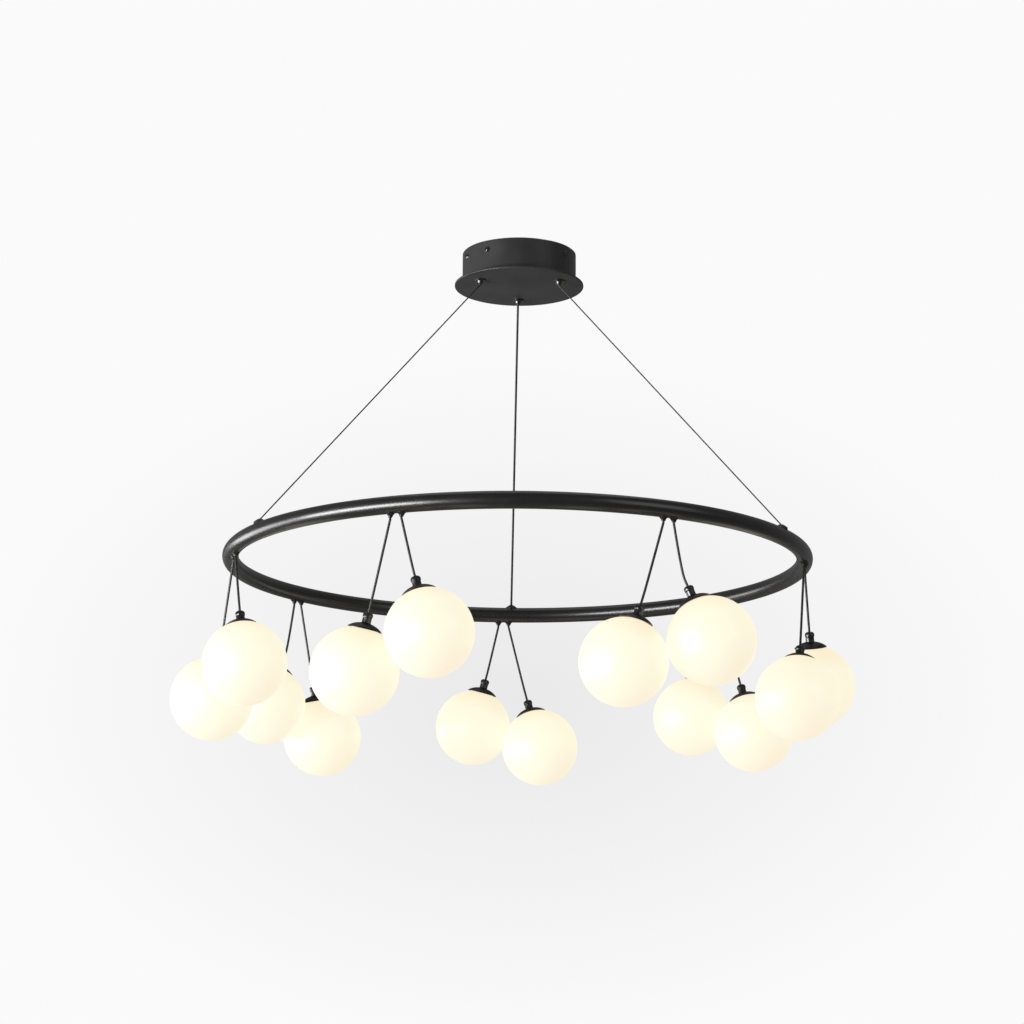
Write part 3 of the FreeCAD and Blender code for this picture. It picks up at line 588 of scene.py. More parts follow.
def ramp(tree, value, *stops):
    """Colour output that passes through the (place, colour) stops as value rises."""
    node = add(tree, "ShaderNodeValToRGB", {"Fac": value})
    elements = node.color_ramp.elements
    while len(elements) < len(stops):
        elements.new(1.0)
    for element, (place, shade) in zip(elements, stops):
        element.position = place
        element.color = (*shade, 1.0)
    return node.outputs["Color"]


def effect(name, inputs, outputs):
    """New shader node group with number sockets, and its two end nodes. It is built once."""
    group = bpy.data.node_groups.new(name, "ShaderNodeTree")
    for label, value in inputs.items():
        socket = group.interface.new_socket(label, in_out="INPUT", socket_type="NodeSocketFloat")
        socket.default_value = value
    for label in outputs:
        group.interface.new_socket(label, in_out="OUTPUT", socket_type="NodeSocketFloat")
    return group, group.nodes.new("NodeGroupInput").outputs, group.nodes.new("NodeGroupOutput")


def sprayed_skin():
    """Sprayed paint's skin: Height is fine orange peel, Grain a finer speckle and Drift a slow change of
    tone over a hand's width. Peel and Drift size are in metres."""
    group, given, result = effect(
        "Sprayed skin", {"Peel": 0.0012, "Drift size": 0.06}, ("Height", "Grain", "Drift"))
    place = add(group, "ShaderNodeTexCoord").outputs["Object"]
    for label, width, divide, detail in (
            ("Height", "Peel", 1.0, 2.0), ("Grain", "Peel", 4.0, 1.0), ("Drift", "Drift size", 1.0, 3.0)):
        density = maths(group, "DIVIDE", divide, given[width])
        noise = add(group, "ShaderNodeTexNoise", {"Vector": place, "Scale": density, "Detail": detail})
        group.links.new(noise.outputs["Fac"], result.inputs[label])
    return group


def handling_marks():
    """Wiped patches where hands have held a part: Mask is near 0 with soft islands up to 1."""
    group, given, result = effect("Handling marks", {"Size": 0.03}, ("Mask",))
    place = add(group, "ShaderNodeTexCoord").outputs["Object"]
    density = maths(group, "DIVIDE", 1.0, given["Size"])
    noise = add(group, "ShaderNodeTexNoise", {
        "Vector": place, "Scale": density, "Detail": 4.0, "Distortion": 0.6})
    group.links.new(spread(group, noise.outputs["Fac"], 0.0, 1.0, 0.52, 0.70), result.inputs["Mask"])
    return group


def drawn_sheath():
    """Surface of something drawn or extruded: Lines are fine streaks that follow the piece's own UV map
    along its length, and Beat is a slow change along it. Lines across is how many go round."""
    group, given, result = effect(
        "Drawn sheath", {"Lines across": 24.0, "Beat length": 0.02}, ("Lines", "Beat"))
    surface = add(group, "ShaderNodeSeparateXYZ", {
        "Vector": add(group, "ShaderNodeTexCoord").outputs["UV"]}).outputs
    turn = maths(group, "MULTIPLY", surface["X"], FULL_TURN)
    around = add(group, "ShaderNodeCombineXYZ", {
        "X": maths(group, "COSINE", turn), "Y": maths(group, "SINE", turn),
        "Z": maths(group, "MULTIPLY", surface["Y"], STREAK_CHANGE)}).outputs["Vector"]
    density = maths(group, "DIVIDE", given["Lines across"], FULL_TURN)
    lines = add(group, "ShaderNodeTexNoise", {"Vector": around, "Scale": density, "Detail": 2.0})
    group.links.new(lines.outputs["Fac"], result.inputs["Lines"])
    along = add(group, "ShaderNodeCombineXYZ", {
        "X": maths(group, "DIVIDE", surface["Y"], given["Beat length"])}).outputs["Vector"]
    beat = add(group, "ShaderNodeTexNoise", {"Vector": along, "Scale": 1.0, "Detail": 2.0})
    group.links.new(beat.outputs["Fac"], result.inputs["Beat"])
    return group


def shared(make):
    """A node group or a material, made the first time that it is asked for."""
    if make not in MADE:
        MADE[make] = make()
    return MADE[make]


def use(tree, make, inputs=None):
    """The outputs of a shared effect placed in a material, with its inputs set by name."""
    return add(tree, "ShaderNodeGroup", inputs, node_tree=shared(make)).outputs


def settings(name):
    """The scene's settings of one group, such as "ring"."""
    return getattr(bpy.context.scene, "chandelier_" + name)


def finish_tree(name, **values):
    """New material, its node tree and its Principled shader with the plain values set. An underscore in a
    value's name stands for a space."""
    made = bpy.data.materials.new(name)
    made.use_nodes = True
    shader = made.node_tree.nodes["Principled BSDF"]
    for label, value in values.items():
        shader.inputs[label.replace("_", " ")].default_value = value
    return made, made.node_tree, shader


def link(tree, shader, **sockets):
    """Joins sockets to the shader's inputs. An underscore in a name stands for a space."""
    for label, socket in sockets.items():
        tree.links.new(socket, shader.inputs[label.replace("_", " ")])


def relief(tree, height, depth):
    """Normal output for a height map whose full range is depth, in metres."""
    bump = add(tree, "ShaderNodeBump", {"Height": height, "Distance": depth, "Strength": 1.0})
    return bump.outputs["Normal"]


def tones(shade, darker, lighter):
    """A shade made darker and lighter, as two colours."""
    return [tuple(min(1.0, part * factor) for part in shade) for factor in (darker, lighter)]


def sprayed(name, shade, glossy, matt, peel, depth, **values):
    """Sprayed or moulded surface: its tone drifts a little, and its roughness goes from glossy to matt with
    the fine grain and is a little higher where it was handled."""
    made, tree, shader = finish_tree(name, **values)
    coat = use(tree, sprayed_skin, {"Peel": peel})
    marks = use(tree, handling_marks, {"Size": HAND_PATCH})
    low, high = tones(shade, 0.82, 1.20)
    rough = spread(tree, coat["Grain"], glossy, matt, 0.3, 0.7)
    rough = maths(tree, "ADD", rough, maths(tree, "MULTIPLY", marks["Mask"], HANDLED))
    link(tree, shader,
         Base_Color=ramp(tree, coat["Drift"], (0.35, low), (0.65, high)),
         Roughness=rough,
         Normal=relief(tree, coat["Height"], depth))
    return made


def satin_powder_coat():
    return sprayed("satin_powder_coat", settings("finishes").canopy,
                   glossy=0.36, matt=0.46, peel=0.0011, depth=0.000016)


def semi_gloss_ring_lacquer():
    return sprayed("semi_gloss_ring_lacquer", settings("finishes").ring,
                   glossy=0.30, matt=0.35, peel=0.0030, depth=0.000001, Coat_Weight=0.35, Coat_Roughness=0.22)


def gloss_black_fittings():
    return sprayed("gloss_black_fittings", settings("finishes").fittings,
                   glossy=0.24, matt=0.30, peel=0.0012, depth=0.000002, Coat_Weight=0.4, Coat_Roughness=0.18)


def semi_gloss_black_fittings():
    return sprayed("semi_gloss_black_fittings", settings("finishes").fittings,
                   glossy=0.32, matt=0.40, peel=0.0012, depth=0.000003, Specular_IOR_Level=0.35)


def glazed_lamp_base():
    return sprayed("glazed_lamp_base", (0.80, 0.79, 0.76),
                   glossy=0.28, matt=0.38, peel=0.0009, depth=0.000006)


def moulded_terminal_plastic():
    return sprayed("moulded_terminal_plastic", settings("finishes").terminal,
                   glossy=0.42, matt=0.52, peel=0.0006, depth=0.000010)


def zinc_plating():
    """Plated sheet: a clear bright blue-grey with darker patches and a fine drawn grain."""
    made, tree, shader = finish_tree("zinc_plating", Metallic=1.0)
    coat = use(tree, sprayed_skin, {"Peel": 0.0005, "Drift size": 0.018})
    low, high = tones(settings("finishes").zinc, 0.72, 1.15)
    link(tree, shader,
         Base_Color=ramp(tree, coat["Drift"], (0.38, low), (0.62, high)),
         Roughness=spread(tree, coat["Grain"], 0.28, 0.44, 0.3, 0.7),
         Normal=relief(tree, coat["Height"], 0.000004))
    return made


def drawn(name, shade, glossy, matt, lines_across, depth, **values):
    """Drawn or extruded surface with streaks along it and a slow beat in its gloss."""
    made, tree, shader = finish_tree(name, **values)
    sheath = use(tree, drawn_sheath, {"Lines across": lines_across})
    low, high = tones(shade, 0.75, 1.3)
    gloss = maths(tree, "MULTIPLY", maths(tree, "ADD", sheath["Lines"], sheath["Beat"]), 0.5)
    link(tree, shader,
         Base_Color=ramp(tree, sheath["Beat"], (0.35, low), (0.65, high)),
         Roughness=spread(tree, gloss, glossy, matt, 0.35, 0.65),
         Normal=relief(tree, sheath["Lines"], depth))
    return made


def black_cord_sheath():
    return drawn("black_cord_sheath", settings("finishes").cord,
                 glossy=0.42, matt=0.54, lines_across=26.0, depth=0.000020)


def dark_steel_strands():
    return drawn("dark_steel_strands", settings("finishes").cable,
                 glossy=0.48, matt=0.60, lines_across=90.0, depth=0.000010, Metallic=0.3)


def opal_glass():
    """Blown opal glass, lit from inside. The light through it changes with the piece's own "rise", from the
    foot at 0 to the crown at 1, and thin clouds in the glass change it a little."""
    look = settings("finishes")
    made, tree, shader = finish_tree("opal_glass", Emission_Strength=look.glow_strength, IOR=1.5)
    rise = add(tree, "ShaderNodeAttribute", attribute_name="rise").outputs["Fac"]
    clouds = use(tree, sprayed_skin, {"Peel": 0.004, "Drift size": 0.05})
    cloudy = maths(tree, "ADD", rise, spread(tree, clouds["Drift"], -0.03, 0.03, 0.3, 0.7))
    low, high = tones(look.opal, 0.97, 1.02)
    link(tree, shader,
         Base_Color=ramp(tree, clouds["Drift"], (0.35, low), (0.65, high)),
         Emission_Color=ramp(tree, cloudy, (0.0, look.glow_foot), (0.42, look.glow_middle),
                             (0.72, look.glow_middle), (1.0, look.glow_crown)),
         Roughness=spread(tree, clouds["Grain"], 0.44, 0.52, 0.3, 0.7),
         Normal=relief(tree, clouds["Height"], 0.000006))
    return made


def clear_lamp_glass():
    """Clear glass with faint handling marks."""
    made, tree, shader = finish_tree(
        "clear_lamp_glass", Base_Color=(1.0, 1.0, 1.0, 1.0), Transmission_Weight=1.0, IOR=1.46)
    marks = use(tree, handling_marks, {"Size": 0.008})
    link(tree, shader, Roughness=spread(tree, marks["Mask"], 0.02, 0.10))
    return made


def lit_phosphor():
    """Warm lit coating in rings round the lamp's post, dimmer between them."""
    made, tree, shader = finish_tree("lit_phosphor", Emission_Strength=4.0, Roughness=0.6)
    surface = add(tree, "ShaderNodeSeparateXYZ", {
        "Vector": add(tree, "ShaderNodeTexCoord").outputs["UV"]}).outputs
    wave = maths(tree, "SINE", maths(tree, "MULTIPLY", surface["Y"], FULL_TURN / LIT_RING))
    rings = spread(tree, wave, 0.0, 1.0, -1.0, 1.0)
    link(tree, shader,
         Base_Color=ramp(tree, rings, (0.0, (0.75, 0.72, 0.62)), (1.0, (0.95, 0.74, 0.25))),
         Emission_Color=ramp(tree, rings, (0.0, (0.35, 0.22, 0.08)), (1.0, (1.0, 0.78, 0.42))))
    return made


def matt_floor():
    """Pale matt floor. The lights face the lamp, so a glow that only the camera sees makes up for them."""
    made, tree, shader = finish_tree("matt_floor")
    seen = add(tree, "ShaderNodeLightPath").outputs["Is Camera Ray"]
    screed = use(tree, sprayed_skin, {"Peel": 0.01, "Drift size": 1.5})
    low, high = tones(settings("stage").floor_colour, 0.98, 1.02)
    link(tree, shader,
         Base_Color=ramp(tree, screed["Drift"], (0.3, low), (0.7, high)),
         Emission_Color=ramp(tree, screed["Drift"], (0.3, low), (0.7, high)),
         Emission_Strength=maths(tree, "MULTIPLY", seen, settings("stage").floor_glow),
         Roughness=spread(tree, screed["Grain"], 0.65, 0.8, 0.3, 0.7))
    return made


# ---- stage ---------------------------------------------------------------------------------------
def soft_light(name, watts, wide, tall, azimuth, elevation, distance):
    """Area light that faces the middle of the lamp from an azimuth (from +X, seen from above) and an
    elevation, in degrees."""
    data = bpy.data.lights.new(name, "AREA")
    data.shape = "RECTANGLE"
    data.size, data.size_y = wide, tall
    data.energy = watts
    light = bpy.data.objects.new(name, data)
    around, up = math.radians(azimuth), math.radians(elevation)
    towards = Vector((math.cos(up) * math.cos(around), math.cos(up) * math.sin(around), math.sin(up)))
    light.location = (cad_box[0] + cad_box[1]) / 2 + towards * distance
    light.rotation_euler = towards.to_track_quat("Z", "Y").to_euler()
    light.visible_camera = False
    bpy.context.scene.collection.objects.link(light)


def backdrop(stage):
    """World that lights the lamp evenly, and that the camera sees as a pale backdrop with a soft oval shade
    behind the globes: its brightness rises from the oval's middle with the distance in half axes."""
    world = bpy.data.worlds.new("studio")
    world.use_nodes = True
    tree = world.node_tree
    tree.nodes.clear()
    place = add(tree, "ShaderNodeSeparateXYZ", {
        "Vector": add(tree, "ShaderNodeTexCoord").outputs["Generated"]}).outputs
    offsets = []
    for axis, middle, half in (("X", *OVAL_ACROSS), ("Z", *OVAL_UP)):
        offset = maths(tree, "DIVIDE", maths(tree, "SUBTRACT", place[axis], middle), half)
        offsets.append(maths(tree, "MULTIPLY", offset, offset))
    reach = maths(tree, "SQRT", maths(tree, "ADD", *offsets))
    behind = maths(tree, "GREATER_THAN", place["Y"], 0.0)
    shade = maths(tree, "MULTIPLY", spread(tree, reach, 1.0, 0.0), behind)
    seen = add(tree, "ShaderNodeBackground", {
        "Color": ramp(tree, shade, (0.0, (stage.backdrop_rim,) * 3), (1.0, (stage.backdrop_middle,) * 3))})
    room = add(tree, "ShaderNodeBackground", {"Color": (1.0, 1.0, 1.0, 1.0), "Strength": stage.room})
    mixed = add(tree, "ShaderNodeMixShader", {
        0: add(tree, "ShaderNodeLightPath").outputs["Is Camera Ray"],
        1: room.outputs[0], 2: seen.outputs[0]})
    add(tree, "ShaderNodeOutputWorld", {"Surface": mixed.outputs[0]})
    bpy.context.scene.world = world


def lay_floor(stage):
    """Round floor, far below the lamp."""
    rim = stage.floor_radius
    surface = turned(((0, 0), (rim, 0), (rim, -FLOOR_THICKNESS), (0, -FLOOR_THICKNESS)))
    points, quads, triangles = stand(surface, UP * stage.floor_level)[:3]
    mesh = bpy.data.meshes.new("studio_floor")
    mesh.from_pydata(points, [], quads.tolist() + triangles.tolist())
    mesh.materials.append(shared(matt_floor))
    floor = bpy.data.objects.new("studio_floor", mesh)
    bpy.context.scene.collection.objects.link(floor)


def stand_camera(stage):
    """Camera that looks along +Y, and is then rolled, pitched up and turned about the vertical."""
    camera = bpy.data.objects.new("camera", bpy.data.cameras.new("camera"))
    camera.data.sensor_width = SENSOR_WIDTH
    camera.data.lens = stage.lens
    camera.data.clip_end = 4 * stage.floor_radius
    camera.location = stage.camera_place
    camera.rotation_euler = (
        Matrix.Rotation(stage.camera_yaw, 3, "Z") @ Matrix.Rotation(stage.camera_pitch, 3, "X")
        @ Matrix.Rotation(stage.camera_roll, 3, "Y") @ Matrix.Rotation(math.pi / 2, 3, "X")).to_euler()
    bpy.context.scene.collection.objects.link(camera)
    bpy.context.scene.camera = camera


class CHANDELIER_OT_stage(bpy.types.Operator):
    """Set up the pale floor, the backdrop, the soft lights and the camera"""
    bl_idname = "chandelier.stage"
    bl_label = "Stage"

    def execute(self, context):
        stage = settings("stage")
        context.scene.view_settings.view_transform = "Standard"
        lay_floor(stage)
        backdrop(stage)
        for name, placed in LIGHTS.items():
            soft_light(name, getattr(stage, name), *placed)
        stand_camera(stage)
        return {"FINISHED"}


# ---- cords ---------------------------------------------------------------------------------------
def line_diameter(line, sizes):
    """The feed line is a cord and the others are steel cables."""
    return sizes.cord_diameter if line == "feed" else sizes.steel_diameter


def stranded(sizes, length, steps_along):
    """Radii of a steel cable, round it and along it. At a round the cable and s along it, n strands give
    R (1 - depth (1 - |cos(n (a - 2 pi s / lay) / 2)|))."""
    steps = sizes.strands * SIDES_PER_STRAND
    gone = np.linspace(0, length, steps_along)[None, :]
    turn = np.arange(steps)[:, None] * FULL_TURN / steps
    lobes = np.abs(np.cos(sizes.strands / 2 * (turn - FULL_TURN * gone / sizes.lay_length)))
    return sizes.steel_diameter / 2 * (1 - sizes.strand_depth * (1 - lobes))


def suspension_line(line, sizes, ring):
    """Taut line from its gripper to its anchor."""
    top = gripper_centre(line)
    top[2] = box("gripper_plunger_" + line)[0][2]
    foot = anchor_centre(line, ring) + UP * (ring.tube_diameter / 2 + ring.anchor_height)
    hidden = unit(foot - top) * sizes.hidden_end
    route = np.array((top - hidden, (top + foot) / 2, foot + hidden))
    corded = line == "feed"
    path = smooth_line(route, CORD_STEPS if corded else STRAND_STEPS)
    radii, steps = sizes.cord_diameter / 2, CORD_SIDES
    if not corded:
        radii = stranded(sizes, run_length(route), len(path))
        steps = len(radii)
    surface = swept(path, unit(np.cross(UP, foot - top)), radii, steps)
    name = "feed_line" if corded else "cable_" + line
    finish, slot = (black_cord_sheath, "black_cord") if corded else (dark_steel_strands, "steel_wire")
    node = "feed_cord" if corded else "steel_cable_" + line
    made = piece(name, surface, shared(finish), "canopy", [node])
    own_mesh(made)


def pendant_route(pendant, sizes, holder):
    """Route's points of a pendant's cord: from its gland towards the middle of the pendant's own axis, then
    along that axis to its end inside the neck."""
    end = pendant["centre"] + pendant["axis"] * (holder.neck_top - sizes.in_neck)
    run = run_length((pendant["pivot"], end))
    return np.array((pendant["pivot"], end + pendant["axis"] * run * sizes.meets_axis,
                     end + pendant["axis"] * sizes.in_neck, end))


class CHANDELIER_OT_cords(bpy.types.Operator):
    """Hang the three suspension lines and the pendants' cords"""
    bl_idname = "chandelier.cords"
    bl_label = "Cords"

    def execute(self, context):
        sizes, holder = settings("lines"), settings("holder")
        for line in LINES:
            suspension_line(line, sizes, settings("ring"))
        for pendant in pendants(settings("globe")):
            route = pendant_route(pendant, sizes, holder)
            path = smooth_line(route, CORD_STEPS)
            across = unit(np.cross(UP, pendant["lean"]))
            surface = swept(path, across, sizes.cord_diameter / 2, CORD_SIDES, ball=True)
            key = pendant["name"]
            made = piece("pendant_cord_" + key, surface, shared(black_cord_sheath), "pendant_" + key,
                         ["cord_" + key])
        return {"FINISHED"}


# ---- canopy --------------------------------------------------------------------------------------
def drum_outline(sizes):
    """Drum of sheet as large as the CAD's, with a lip turned in on the disc and a weld round its foot."""
    low, high = box("canopy_drum")
    outer = (high[0] - low[0]) / 2
    inner = outer - sizes.drum_wall
    lip = inner - sizes.drum_lip
    seat = box("canopy_disc")[1][2]
    toe = outer + sizes.weld + WELD_TOE
    return rounded((
        (outer, high[2], sizes.sheet_radius), (outer, seat, sizes.weld), (toe, seat), (toe, seat - WELD_TOE),
        (lip, seat - WELD_TOE), (lip, seat + sizes.drum_wall), (inner, seat + sizes.drum_wall),
        (inner, high[2], sizes.sheet_radius),
    ))


def disc_outline(sizes):
    """Flat round plate as large as the CAD's, with a rounded rim."""
    low, high = box("canopy_disc")
    rim = (high[0] - low[0]) / 2
    return rounded((
        (0, high[2]), (rim, high[2], sizes.edge_radius), (rim, low[2], sizes.edge_radius), (0, low[2]),
    ))


class CHANDELIER_OT_canopy(bpy.types.Operator):
    """Make the canopy's drum and its disc"""
    bl_idname = "chandelier.canopy"
    bl_label = "Canopy"

    def execute(self, context):
        sizes = settings("canopy")
        paint = shared(satin_powder_coat)
        drum = turned(drum_outline(sizes), CANOPY_SIDES, closed=True)
        piece("drum_shell", drum, paint, "canopy", ["canopy_drum"])
        disc = turned(disc_outline(sizes), CANOPY_SIDES)
        piece("disc_plate", disc, paint, "canopy", ["canopy_disc"])
        return {"FINISHED"}


def gripper_outline(sizes, bore):
    """Threaded stem, flange and conical nozzle in one piece, with a chamber in the nozzle for the collar."""
    stem, flange = sizes.stem_diameter / 2, sizes.flange_diameter / 2
    under = -sizes.flange_thickness
    tip = under - sizes.nozzle_length
    chamber = sizes.plunger_diameter / 2 + sizes.clearance
    chamber_top = tip - sizes.plunger_proud + sizes.plunger_length + COLLAR_ROOM
    return np.vstack((
        rounded(((bore, chamber_top), (bore, sizes.stem_length), (stem, sizes.stem_length, sizes.edge))),
        column(stem, sizes.stem_length - 2 * sizes.edge, NUT_SEAT, STEM_STEPS),
        rounded((
            (stem, 0), (flange, 0, sizes.edge), (flange, under, sizes.edge),
            (sizes.nozzle_top / 2, under, sizes.edge), (sizes.nozzle_tip / 2, tip, sizes.edge),
            (chamber, tip, sizes.edge), (chamber, chamber_top),
        )),
    ))


def collar_outline(sizes, bore):
    """Push-in release collar that stands on its foot, which has the larger rounding."""
    outer, top = sizes.plunger_diameter / 2, sizes.plunger_length
    return rounded((
        (outer, top, sizes.edge), (outer, 0, sizes.edge * 2), (bore, 0, sizes.edge / 2), (bore, top),
    ))


class CHANDELIER_OT_grippers(bpy.types.Operator):
    """Make the three cable grippers with their push-in collars"""
    bl_idname = "chandelier.grippers"
    bl_label = "Grippers"

    def execute(self, context):
        sizes, lines = settings("gripper"), settings("lines")
        paint = shared(gloss_black_fittings)
        below = sizes.flange_thickness + sizes.nozzle_length + sizes.plunger_proud
        bodies = []
        for line in LINES:
            centre = gripper_centre(line)
            bore = line_diameter(line, lines) / 2 + lines.clearance
            outline = gripper_outline(sizes, bore)
            screwed = thread(outline, sizes.stem_diameter / 2 - sizes.edge, sizes.thread_pitch,
                             sizes.thread_depth, NUT_SEAT, sizes.stem_length - sizes.edge)
            bodies.append(stand(turned(outline, FITTING_SIDES, closed=True, ripple=screwed), centre))
            collar = turned(collar_outline(sizes, bore), FITTING_SIDES, closed=True)
            piece("release_collar_" + line, stand(collar, centre - UP * below), paint,
                  "plunger_" + line, ["gripper_plunger_" + line])
        piece("gripper_shells", joined(bodies), paint, "canopy", ["gripper_bodies"])
        return {"FINISHED"}


# ---- ring ----------------------------------------------------------------------------------------
def torus(radius, height, section, spin_steps, section_steps, wander=0.0, turns=0, phase=0.0):
    """Tube of the given section radius round a ring. The point at a round the ring and b round the section
    is ((R + w cos c + s cos b) cos a, ... sin a, h + w sin c + s sin b), where c = turns a + phase lets a
    wire wander round the ring's centre line by w."""
    spin = np.arange(spin_steps)[:, None] * FULL_TURN / spin_steps
    section_turn = -np.arange(section_steps)[None, :] * FULL_TURN / section_steps
    lay = turns * spin + phase
    out = radius + wander * np.cos(lay) + section * np.cos(section_turn)
    rise = height + wander * np.sin(lay) + section * np.sin(section_turn)
    return skin(np.stack((out * np.cos(spin), out * np.sin(spin), rise), axis=-1), wrap_along=True)


def anchor_outline(sizes, entry):
    """Low dome that a suspension line enters through its flat top, with its foot sunk into the tube."""
    tube, rim, flat = sizes.tube_diameter / 2, sizes.anchor_diameter / 2, sizes.anchor_top / 2
    top = tube + sizes.anchor_height
    slope = (ANCHOR_SWELL[0] * rim, tube + ANCHOR_SWELL[1] * sizes.anchor_height)
    return np.vstack((
        rounded(((0, top - sizes.edge), (entry, top - sizes.edge),
                 (entry + sizes.edge, top, sizes.edge / 2), (flat, top)))[:-1],
        arc_through((flat, top), slope, (rim, tube)),
        ((rim, tube - sizes.sunk), (0, tube - sizes.sunk)),
    ))


def gland_outline(sizes, bore):
    """Flared cone that a pendant's cord comes out of, with its upper end sunk into the tube."""
    tube, flare, mouth = sizes.tube_diameter / 2, sizes.gland_top / 2, sizes.gland_mouth / 2
    low = -tube - sizes.gland_height
    waist = (mouth + GLAND_WAIST[0] * (flare - mouth), low + GLAND_WAIST[1] * sizes.gland_height)
    return np.vstack((
        ((bore, sizes.sunk - tube), (flare, sizes.sunk - tube)),
        arc_through((flare, -tube), waist, (mouth, low + sizes.edge)),
        rounded(((mouth, low, sizes.edge / 2), (bore, low, sizes.edge / 2), (bore, sizes.sunk - tube)))[:-1],
    ))


def conductors(sizes):
    """Wires that twist round each other once all along the inside of the tube in every lay."""
    radius, height = ring_line(sizes)
    turns = round(FULL_TURN * radius / sizes.wire_lay)
    return [
        torus(radius, height + sizes.wiring_level, sizes.wire_diameter / 2, WIRE_STEPS_PER_TURN * turns,
              WIRE_SIDES, sizes.wire_spread, turns, FULL_TURN * index / CONDUCTORS)
        for index in range(CONDUCTORS)
    ]


def wiring_tails(sizes, radius, gland_places):
    """A tail from the conductors down into each gland, and one up into the feed cord's anchor."""
    tube, level = sizes.tube_diameter / 2, sizes.wiring_level
    mouth = -tube - sizes.gland_height
    down = rounded(((0, level), (radius, level), (radius, mouth, sizes.edge), (0, mouth)))
    up = ((0, tube), (radius, tube), (radius, level), (0, level))
    falling, rising = turned(down, CORD_SIDES), turned(up, CORD_SIDES)
    return [*(stand(falling, place) for place in gland_places), stand(rising, anchor_centre("feed", sizes))]


class CHANDELIER_OT_ring(bpy.types.Operator):
    """Make the ring's tube, its cable anchors, its cord glands and the wiring in it"""
    bl_idname = "chandelier.ring"
    bl_label = "Ring"

    def execute(self, context):
        sizes, lines = settings("ring"), settings("lines")
        radius, height = ring_line(sizes)
        tube = torus(radius, height, sizes.tube_diameter / 2, RING_STEPS, RING_SIDES)
        piece("ring_body", tube, shared(semi_gloss_ring_lacquer), "ring", ["ring_tube"])
        paint = shared(semi_gloss_black_fittings)
        anchors = []
        for line in LINES:
            outline = anchor_outline(sizes, line_diameter(line, lines) / 2 + lines.clearance)
            anchors.append(stand(turned(outline, FITTING_SIDES), anchor_centre(line, sizes)))
        piece("anchor_domes", joined(anchors), paint, "ring", ["cable_anchors"])
        bore = lines.cord_diameter / 2 + lines.clearance
        gland = turned(gland_outline(sizes, bore), FITTING_SIDES, closed=True)
        places = [(*pendant["pivot"][:2], height) for pendant in pendants(settings("globe"))]
        glands = joined(stand(gland, place) for place in places)
        piece("gland_cones", glands, paint, "ring", ["cord_glands"])
        wiring = joined(conductors(sizes) + wiring_tails(sizes, lines.cord_diameter / 2, places))
        piece("ring_conductors", wiring, shared(black_cord_sheath), "ring", ["ring_wiring"])
        return {"FINISHED"}


# ---- pendants ------------------------------------------------------------------------------------
def neck_outline(sizes, bore):
    """Neck with a collar that is domed towards the cord, and a small flare where it meets the cap."""
    cap_top = sizes.cap_rim + sizes.cap_rise
    collar, neck = sizes.collar_diameter / 2, sizes.neck_diameter / 2
    under = sizes.neck_top - sizes.collar_height
    shoulder = sizes.neck_top - sizes.dome
    domed = (bore + (collar - bore) * SHOULDER[0], sizes.neck_top - sizes.dome * SHOULDER[1])
    return np.vstack((
        ((bore, sizes.neck_top),),
        arc_through((bore + sizes.edge, sizes.neck_top), domed, (collar, shoulder), COLLAR_STEPS),
        rounded(((collar, shoulder), (collar, under, 2 * sizes.edge),
                 (neck, under - 2 * (collar - neck), sizes.edge), (neck, cap_top, sizes.cap_wall),
                 (neck + sizes.cap_wall + sizes.edge, cap_top), (neck, cap_top - sizes.cap_wall),
                 (bore, cap_top - sizes.cap_wall)))[1:],
    ))


def cap_outline(sizes):
    """Shallow dome of sheet with a flat seat for the neck and a rounded rim."""
    cap_top = sizes.cap_rim + sizes.cap_rise
    rim, seat, wall = sizes.cap_diameter / 2, sizes.neck_diameter / 2, sizes.cap_wall
    middle, bulge = (rim + seat) / 2, sizes.cap_rim + CAP_BULGE * sizes.cap_rise
    lip = (rim - wall / 2, sizes.cap_rim)
    return np.vstack((
        ((CAP_HOLE, cap_top), (seat, cap_top)),
        arc_through((seat, cap_top), (middle, bulge), (rim, sizes.cap_rim + wall / 2), CAP_STEPS)[1:],
        between((rim, sizes.cap_rim + wall / 2), lip, (rim - wall / 2, sizes.cap_rim + wall / 2),
                CAP_RIM_STEPS)[1:],
        arc_through((rim - wall, sizes.cap_rim), (middle - wall / 2, bulge - wall),
                    (seat, cap_top - wall), CAP_STEPS),
        ((CAP_HOLE, cap_top - wall),),
    ))


def sleeve_outline(sizes, lamp):
    """Threaded sleeve under the cap with a round socket for the lamp's base."""
    top = sizes.cap_rim + sizes.cap_rise - 2 * sizes.cap_wall
    sleeve = sizes.sleeve_diameter / 2
    socket = lamp.diameter / 2 + SOCKET_ROOM
    ceiling = sizes.sleeve_bottom + sizes.socket_depth
    shoulder = top - sleeve / 2
    return np.vstack((
        rounded(((0, top), (sleeve / 2, top, sizes.edge), (sleeve, shoulder))),
        column(sleeve, shoulder - sizes.edge, sizes.sleeve_bottom + sizes.edge, SLEEVE_STEPS),
        rounded(((sleeve, sizes.sleeve_bottom), (socket, sizes.sleeve_bottom, sizes.edge), (socket, ceiling),
                 (0, ceiling)))[1:],
    ))


def on_each_pendant(parts):
    """Pieces of every holder, from the surface and the finish of each part by its label. The surfaces have
    the globe's centre as their origin and the pendant's axis as their +Z."""
    for pendant in pendants(settings("globe")):
        key = pendant["name"]
        for label, (surface, finish) in parts.items():
            piece(f"{label}_{key}", stand(surface, pendant["centre"], pendant["axis"]), shared(finish),
                  "pendant_" + key, ["holder_" + key])


